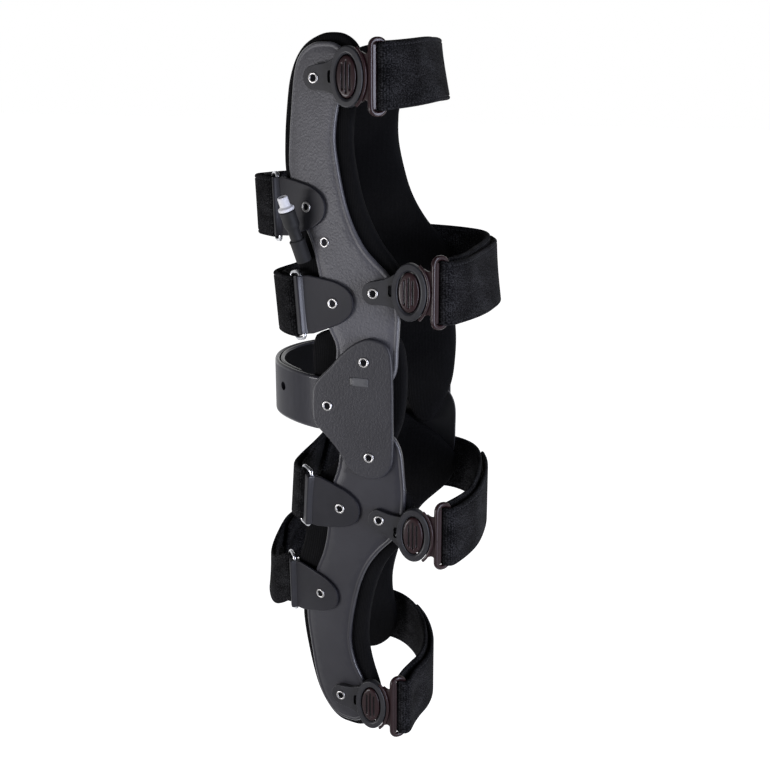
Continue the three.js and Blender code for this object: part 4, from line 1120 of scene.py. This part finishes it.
LOOP_BAR, LOOP_SIDES, LOOP_SQUARE, LOOP_CORNER_TURNS = 1.5, 16, 0.7, 8
WEB_X, WEB_LAP, WEB_CORNER, WEB_HALF = (0.6, 4.6), 1.2, 0.8, 1.0
WEB_ROUND, WEB_HOLD = 0.4, 0.1
SMALL_TURNS = 3
OUTWARD = np.array([0.0, 1.0, 0.0])


def buckle_axes(name):
    """Centre of a buckle's ring on the shell, and its axes back, up and outward."""
    x, z, _ = BUCKLES[name]
    step = 0.5
    places = np.array([(x, SOCKET_LIFT, z), (x + step, 0, z), (x - step, 0, z)])
    centre, ahead, behind = on_shell(places)
    up = np.array([0.0, 0.0, 1.0])
    out = unit(np.cross(ahead - behind, up))
    return centre, np.cross(up, out), up, out


def on_buckle(name, points):
    """Points about a buckle's ring, as x, lift and z, set on the shell."""
    centre, back, up, out = buckle_axes(name)
    return centre + points[:, :1] * back + points[:, 1:2] * out + points[:, 2:] * up


def tab_border(rise):
    """The tab seen from outside: round nose, waisted sides, and claws round the ring's mouth."""
    claw = math.asin(MOUTH_HALF / RING_HALF[1])
    root = math.pi - math.asin(TAB_ROOT / RING_HALF[1])
    top = oval(RING_HALF, np.linspace(claw, root, TAB_ARC_POINTS))
    turn = np.linspace(*map(math.radians, TAB_NOSE_TURN), TAB_ARC_POINTS)
    nose = (TAB_NOSE_X, rise) + oval((TAB_NOSE_RADIUS, TAB_NOSE_RADIUS), turn)
    waist, half = np.array([TAB_WAIST[0], WAIST_RISE * rise]), (0.0, TAB_WAIST[1])
    upper = smooth_line([top[-1], waist + half, nose[0]], TAB_SIDE_STEP)[1:-1]
    lower = smooth_line([nose[-1], waist - half, top[-1] * (1, -1)], TAB_SIDE_STEP)[1:-1]
    inner = oval(HOLE_HALF, np.linspace(-math.pi / 2, -3 * math.pi / 2, HOLE_ARC_POINTS))
    mouth = [[(MOUTH_X, -MOUTH_HALF)], inner, [(MOUTH_X, MOUTH_HALF)]]
    return np.vstack([top, upper, nose, lower, top[::-1] * (1, -1), *mouth])


def oval_ring(inner, outer, section):
    """Closed ring whose section runs between two ovals: share of the way out, and lift."""
    points = []
    for share, lift in section:
        half = (1 - share) * np.array(inner) + share * np.array(outer)
        points.append(lifted(oval(half, full_turn(RING_POINTS)), lift))
    return np.vstack(points), walls(len(section), RING_POINTS, True)


def knob_form():
    """Oval push knob with a rolled rim and three upright grooves; also each point's share of light, with
    shade painted into the grooves.
    """
    rim_shares = 1 - KNOB_RIM * (1 - np.sin(np.linspace(*RIM_TURN, RIM_TURNS)))
    shares = np.concatenate([np.linspace(*KNOB_FACE, KNOB_RINGS), rim_shares])
    angles = full_turn(KNOB_POINTS)
    share, angle = (axis.ravel() for axis in np.meshgrid(shares, angles, indexing="ij"))
    x, z = KNOB_HALF[0] * share * np.cos(angle), KNOB_HALF[1] * share * np.sin(angle)
    rolled = np.clip((share - KNOB_FACE[1]) / KNOB_RIM, 0.0, 1.0)
    lift = KNOB_TOP - KNOB_CROWN * share**2 - KNOB_ROLL * (1 - np.sqrt(1 - rolled**2))
    lit_share = np.ones_like(x)
    for k, reach in KNOB_GROOVES.items():
        beside = ease(np.abs(x - k * GROOVE_PITCH) / GROOVE_HALF, GROOVE_FLAT, 1.0)
        beyond = ease(np.abs(z), reach - GROOVE_END, reach + GROOVE_END)
        groove = (1 - beside) * (1 - beyond)
        lift -= GROOVE_DEPTH * groove
        # Painted shade: the colour is darkened inside each groove, where shade falls.
        lit_share -= groove
    face, foot = np.column_stack([x, lift, z]), lifted(oval(KNOB_HALF, angles), KNOB_FOOT)
    points = np.vstack([face, foot, [(0.0, KNOB_TOP - GROOVE_DEPTH, 0.0)]])
    middle, foot_first = len(points) - 1, len(face)
    faces = walls(len(shares) + 1, KNOB_POINTS)
    faces += [(middle, (i + 1) % KNOB_POINTS, i) for i in range(KNOB_POINTS)]
    return points, [*faces, tuple(range(foot_first, middle))], lit_share


def loop_form():
    """Round-cornered loop for the strap, turned back from the neck."""
    bar_half = LOOP_HALF - LOOP_BAR
    bar_x = (LOOP_BAR, LOOP_DEPTH - LOOP_BAR)
    path = rounded_box(bar_x, (-bar_half, bar_half), LOOP_CORNER, LOOP_CORNER_TURNS)
    path = lifted(smooth_line(path, LOOP_STEP, True), 0.0)
    bar = sweep(path, round_section(LOOP_BAR, LOOP_SIDES, LOOP_SQUARE), OUTWARD, True)
    web_half = bar_half - LOOP_CORNER + WEB_LAP
    web_border = rounded_box(WEB_X, (-web_half, web_half), WEB_CORNER)
    web = lay_up(web_border, rounded_edge(-WEB_HALF, WEB_HALF, WEB_ROUND, SMALL_TURNS, WEB_HOLD))
    points, faces = merge(bar, web)
    c, s = math.cos(math.radians(LOOP_TURN)), math.sin(math.radians(LOOP_TURN))
    x, lift, z = points.T
    return np.column_stack([LOOP_AT + x * c + lift * s, LOOP_LIFT - x * s + lift * c, z]), faces


def neck_forms():
    """Neck between ring and loop, with a lip round the ring's edge, and the tongue under the ring."""
    reach = math.asin(SEAT_REACH / SEAT_HALF[1])
    seat = oval(SEAT_HALF, np.linspace(-reach, reach, SEAT_POINTS))
    side = smooth_line(NECK_SIDE, NECK_SIDE_STEP)
    end = [(NECK_END, -side[-1, 1]), (NECK_END, side[-1, 1])]
    border = np.vstack([side * (1, -1), end, side[::-1], seat[::-1]])
    neck_section = rounded_edge(*NECK_LIFT, NECK_ROUND, SMALL_TURNS, NECK_HOLD)
    neck = lay_up(border, neck_section, NECK_FACE_STEP)
    lip_path = lifted(oval(LIP_HALF, np.linspace(-LIP_REACH, LIP_REACH, LIP_POINTS)), LIP_LIFT)
    lip = sweep(lip_path, round_section(LIP_RADIUS, LIP_SIDES), OUTWARD, False)
    tongue_border = rounded_box(TONGUE_X, (-TONGUE_HALF, TONGUE_HALF), TONGUE_CORNER)
    tongue_section = rounded_edge(*TONGUE_LIFT, TONGUE_ROUND, SMALL_TURNS, TONGUE_HOLD)
    tongue = lay_up(tongue_border, tongue_section)
    return neck, lip, tongue


def moulded_finish(name, dark, pale, rough):
    """Moulded plastic with a fine spark-eroded texture and a slight bloom."""
    made = Finish(name, Specular_Ior_Level=0.3)
    place = made.places()
    texture = made.cloud(place, 0.4, 2.0)
    bloom = made.cloud(place, 9.0, 3.0)
    made.set("Base Color", made.tint(dark, pale, bloom.ease(0.3, 0.75)))
    made.set("Roughness", rough + bloom * 0.12 + texture * 0.06)
    made.raise_by(texture, 0.03, 0.35)
    return made


def tinted_finish(name, dark, pale, rough):
    """Dark tinted plastic, moulded smooth; shade is painted into the grooves of a knob, which are darker."""
    made = Finish(name, Specular_Ior_Level=0.25, Coat_Weight=0.08, Coat_Roughness=0.12)
    streaks = made.cloud(made.places(4.0, 4.0, 9.0), 1.0, 2.0)
    # A knob's grooves are darkened here with painted shade.
    made.set("Base Color", made.tint(dark, pale, made.mark("lit_share") * (0.75 + streaks * 0.5)))
    made.set("Roughness", rough + streaks * 0.12)
    return made


socket_plastic = moulded_finish("socket plastic", (0.014, 0.0138, 0.016), (0.02, 0.0197, 0.0225), 0.32)
plug_plastic = tinted_finish("plug plastic", (0.002, 0.0008, 0.0009), (0.018, 0.0068, 0.0078), 0.24)
slit_low = [(SLIT_X[0], -SLIT_ROOT), *((x + SLIT_BEND, -SLIT_HALF) for x in SLIT_X)]
slit = np.array([*slit_low, (SLIT_X[1], 0.0), *((x, -z) for x, z in slit_low[::-1])])
tab_section = rounded_edge(0.0, TAB_THICK, TAB_ROUND, hold=TAB_HOLD)
knob_points, knob_faces, knob_lit_share = knob_form()
plug_points, plug_faces = merge((knob_points, knob_faces), loop_form(), *neck_forms())
# Only the knob's grooves carry painted shade; the rest of the plug is left fully lit.
plug_lit_share = np.concatenate([knob_lit_share, np.ones(len(plug_points) - len(knob_lit_share))])
for name, (_, _, rise) in BUCKLES.items():
    body = body_of(name)
    tab = lay_up(tab_border(rise), tab_section, TAB_FACE_STEP, [slit])
    points, faces = merge(tab, oval_ring(HOLE_HALF, RING_HALF, RING_SECTION))
    points = on_buckle(name, points)
    socket = make_piece(f"{name}_ring_tab", points, faces, socket_plastic, crease=40)
    settle(socket, body, "socket_plastic", f"{name}_socket")
    points = on_buckle(name, plug_points)
    plug = make_piece(f"{name}_clip", points, plug_faces, plug_plastic, crease=50)
    store(plug, "lit_share", plug_lit_share)
    settle(plug, body, "plug_plastic", f"{name}_plug")

# Air valve of the near thigh pad. A stiff rubber tube with a collar comes out at the pad's front
# edge and leans up over a bracket; a white moulded nozzle is pushed into its end.
VALVE_BASE, VALVE_MOUTH = np.array([-42.2, -51.3, 86.2]), np.array([-51.2, -61.0, 124.4])
NOZZLE_SEAT = 32.7
# Radius and distance along the axis.
TUBE_PROFILE = [
    (0, 0), (4.4, 0), (4.7, 0.5), (4.7, 12.2), (4.9, 12.8), (4.9, 13.5), (4.6, 13.9), (3.9, 13.7),
    (3.7, 13.4), (3.65, 20.6), (4.0, 21.6), (4.6, 22.5), (4.75, 23.4), (4.75, 31.6), (4.6, 32.1),
    (4.2, 32.4), (0, 32.4),
]
NOZZLE_PROFILE = [
    (0, 0), (4.6, 0), (4.85, 0.4), (4.85, 1.5), (4.6, 1.9), (3.8, 2.1), (3.35, 2.5), (3.2, 3.2),
    (3.1, 7.8), (2.95, 8.3), (2.7, 8.45), (2.45, 8.3), (2.35, 7.8), (2.3, 3.0), (0, 3.0),
]


def lathe(profile, base, axis, sides=40):
    """Form turned about an axis; the profile starts and ends on it."""
    right = unit(np.cross(axis, (1.0, 0.0, 0.0)))
    front = np.cross(axis, right)
    angles = full_turn(sides)[:, None]
    around = np.cos(angles) * right + np.sin(angles) * front
    rings = profile[1:-1]
    points = [base + radius * around + height * axis for radius, height in rings]
    points += [[base + profile[0][1] * axis], [base + profile[-1][1] * axis]]
    faces = walls(len(rings), sides)
    low_end, last_ring = len(rings) * sides, (len(rings) - 1) * sides
    faces += [(low_end, (i + 1) % sides, i) for i in range(sides)]
    faces += [(low_end + 1, last_ring + i, last_ring + (i + 1) % sides) for i in range(sides)]
    return np.vstack(points), faces


rubber = moulded_finish("valve rubber", (0.007, 0.007, 0.0075), (0.014, 0.014, 0.015), 0.55)
white_plastic = moulded_finish("valve white", (0.6, 0.6, 0.62), (0.67, 0.67, 0.69), 0.34)
valve_axis = unit(VALVE_MOUTH - VALVE_BASE)
tube = make_piece("valve_hose", *lathe(TUBE_PROFILE, VALVE_BASE, valve_axis), rubber, crease=50)
settle(tube, "thigh", "valve_rubber", "valve_tube")
nozzle_base = VALVE_BASE + NOZZLE_SEAT * valve_axis
nozzle = make_piece("valve_tip", *lathe(NOZZLE_PROFILE, nozzle_base, valve_axis), white_plastic, crease=50)
settle(nozzle, "thigh", "valve_white", "valve_nozzle")

# Rivets. Every bracket, socket tab and hinge pivot is closed by a nickel eyelet, rolled over
# a washer; its bore is a disc in the middle, painted dark with shade. One eyelet is built and set on each
# place.
EYELET_RADIUS, EYELET_BEAD, EYELET_DEPTH, BEAD_FLAT = 2.55, 0.68, 0.1, 0.8
EYELET_SIDES, BEAD_SIDES, BORE_SIDES = 28, 10, 20
RIVET_LIFT = 0.15
SPARE_RIVET = (-28.8, 98.3)
# Painted shade of an eyelet's hole.
BORE_SHADE = (0.006, 0.006, 0.007)
PIN_FACE = 60.05
PIN_PLACES = {"upper_pin": PIVOTS["thigh"], "lower_pin": PIVOTS["calf"], "band_rivet": (-25.0, 0.0)}


def eyelet_tree():
    """Nodes that set an eyelet on each point of a mesh: a flattened bead round a bore disc, marked to be
    painted dark with shade.
    """
    tree = bpy.data.node_groups.new("eyelets", "GeometryNodeTree")
    tree.interface.new_socket("Places", in_out="INPUT", socket_type="NodeSocketGeometry")
    for label in ("Radius", "Bead", "Depth"):
        tree.interface.new_socket(label, in_out="INPUT", socket_type="NodeSocketFloat")
    tree.interface.new_socket("Metal", in_out="INPUT", socket_type="NodeSocketMaterial")
    tree.interface.new_socket("Eyelets", in_out="OUTPUT", socket_type="NodeSocketGeometry")
    inputs, output = tree.nodes.new("NodeGroupInput"), tree.nodes.new("NodeGroupOutput")

    def node(kind, settings, **links):
        """One node: its settings first, then the values or links of its sockets."""
        made = tree.nodes.new(kind)
        for key, value in settings.items():
            setattr(made, key, value)
        for key, value in links.items():
            socket = made.inputs[key.replace("_", " ")]
            if isinstance(value, bpy.types.NodeSocket):
                tree.links.new(value, socket)
            else:
                socket.default_value = value
        return made.outputs[0]

    radius, bead_radius, depth = (inputs.outputs[label] for label in ("Radius", "Bead", "Depth"))
    circle = node("GeometryNodeCurvePrimitiveCircle", {}, Resolution=EYELET_SIDES, Radius=radius)
    bead = node("GeometryNodeCurvePrimitiveCircle", {}, Resolution=BEAD_SIDES, Radius=bead_radius)
    ring = node("GeometryNodeCurveToMesh", {}, Curve=circle, Profile_Curve=bead)
    ring = node("GeometryNodeTransform", {}, Geometry=ring, Scale=(1.0, 1.0, BEAD_FLAT))
    fan = {"fill_type": "TRIANGLE_FAN"}
    bore = node("GeometryNodeMeshCircle", fan, Vertices=BORE_SIDES, Radius=radius)
    down = node("ShaderNodeMath", {"operation": "MULTIPLY"}, Value=depth)
    down.node.inputs[1].default_value = -1.0
    offset = node("ShaderNodeCombineXYZ", {}, Z=down)
    bore = node("GeometryNodeTransform", {}, Geometry=bore, Translation=offset)
    store_float = {"data_type": "FLOAT"}
    # The bore disc is marked so that its finish paints it dark with shade.
    bore = node("GeometryNodeStoreNamedAttribute", store_float, Geometry=bore, Name="bore", Value=1.0)
    both = tree.nodes.new("GeometryNodeJoinGeometry")
    tree.links.new(ring, both.inputs[0])
    tree.links.new(bore, both.inputs[0])
    out = node("GeometryNodeInputNamedAttribute", {"data_type": "FLOAT_VECTOR"}, Name="out")
    turn = node("FunctionNodeAlignRotationToVector", {"axis": "Z"}, Vector=out)
    points = node("GeometryNodeMeshToPoints", {}, Mesh=inputs.outputs["Places"])
    one = both.outputs[0]
    placed = node("GeometryNodeInstanceOnPoints", {}, Points=points, Instance=one, Rotation=turn)
    real = node("GeometryNodeRealizeInstances", {}, Geometry=placed)
    smooth = node("GeometryNodeSetShadeSmooth", {}, Geometry=real)
    painted = node("GeometryNodeSetMaterial", {}, Geometry=smooth, Material=inputs.outputs["Metal"])
    tree.links.new(painted, output.inputs[0])
    return tree


def grow(name, tree, mesh, **values):
    """Runs a node tree on a mesh and keeps the result as a plain mesh."""
    seed = bpy.data.objects.new(f"{name}_seed", mesh)
    scene.collection.objects.link(seed)
    modifier = seed.modifiers.new("grow", "NODES")
    modifier.node_group = tree
    for item in tree.interface.items_tree:
        if item.in_out == "INPUT" and item.name in values:
            modifier[item.identifier] = values[item.name]
    graph = bpy.context.evaluated_depsgraph_get()
    made = bpy.data.objects.new(name, bpy.data.meshes.new_from_object(seed.evaluated_get(graph)))
    scene.collection.objects.link(made)
    bpy.data.objects.remove(seed)
    return made


def surface(body, side, lay, x, z, lift):
    """A place on a side, and the way out of it."""
    step = 0.5
    at = lay(np.array([(x, lift, z), (x + step, lift, z), (x, lift, z + step)], float))
    at = to_side(at, body, side)
    out = unit(np.cross(at[1] - at[0], at[2] - at[0]))
    return at[0], out if out[1] * at[0][1] > 0 else -out


nickel = metal_finish("nickel", (0.52, 0.51, 0.5), 0.28, (0.6, 0.6, 0.6))
nickel_tone = Field(nickel, nickel.shader.inputs["Base Color"].links[0].from_socket)
# The bore disc is painted dark: shade painted into the eyelet's hole.
nickel.set("Base Color", nickel.tint(nickel_tone, BORE_SHADE, nickel.mark("bore")))
eyelets = eyelet_tree()
sizes = {"Radius": EYELET_RADIUS * MM, "Bead": EYELET_BEAD * MM, "Depth": EYELET_DEPTH * MM}
rivet_places = {"thigh": [], "calf": [], "hinge_link": []}
for name in BRACKETS:
    body = body_of(name)
    x, z, _ = BRACKETS[name]
    for side in SIDES:
        lift = LUG_LIFT + LUG_THICK + RIVET_LIFT
        rivet_places[body].append(surface(body, side, on_shell, x, z, lift))
    centre, back, up, out = buckle_axes(name)
    nose_at = centre + TAB_NOSE_X * back + BUCKLES[name][2] * up + (TAB_THICK + RIVET_LIFT) * out
    rivet_places[body].append((nose_at, out))
rivet_places["thigh"].append(surface("thigh", "near", on_shell, *SPARE_RIVET, RIVET_LIFT))
for x, z in PIN_PLACES.values():
    for side in SIDES:
        rivet_places["hinge_link"].append(surface("hinge_link", side, on_flat, x, z, PIN_FACE))
for body, places in rivet_places.items():
    mesh = bpy.data.meshes.new(f"{body}_rivet_places")
    mesh.from_pydata([tuple(at * MM) for at, _ in places], [], [])
    attribute = mesh.attributes.new("out", "FLOAT_VECTOR", "POINT")
    attribute.data.foreach_set("vector", np.array([out for _, out in places], np.float32).ravel())
    rivets = grow(f"{body}_eyelets", eyelets, mesh, Metal=nickel.material, **sizes)
    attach(rivets, body)
    if body == "hinge_link":
        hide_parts(*[f"{pin}_{side}" for pin in PIN_PLACES for side in SIDES])
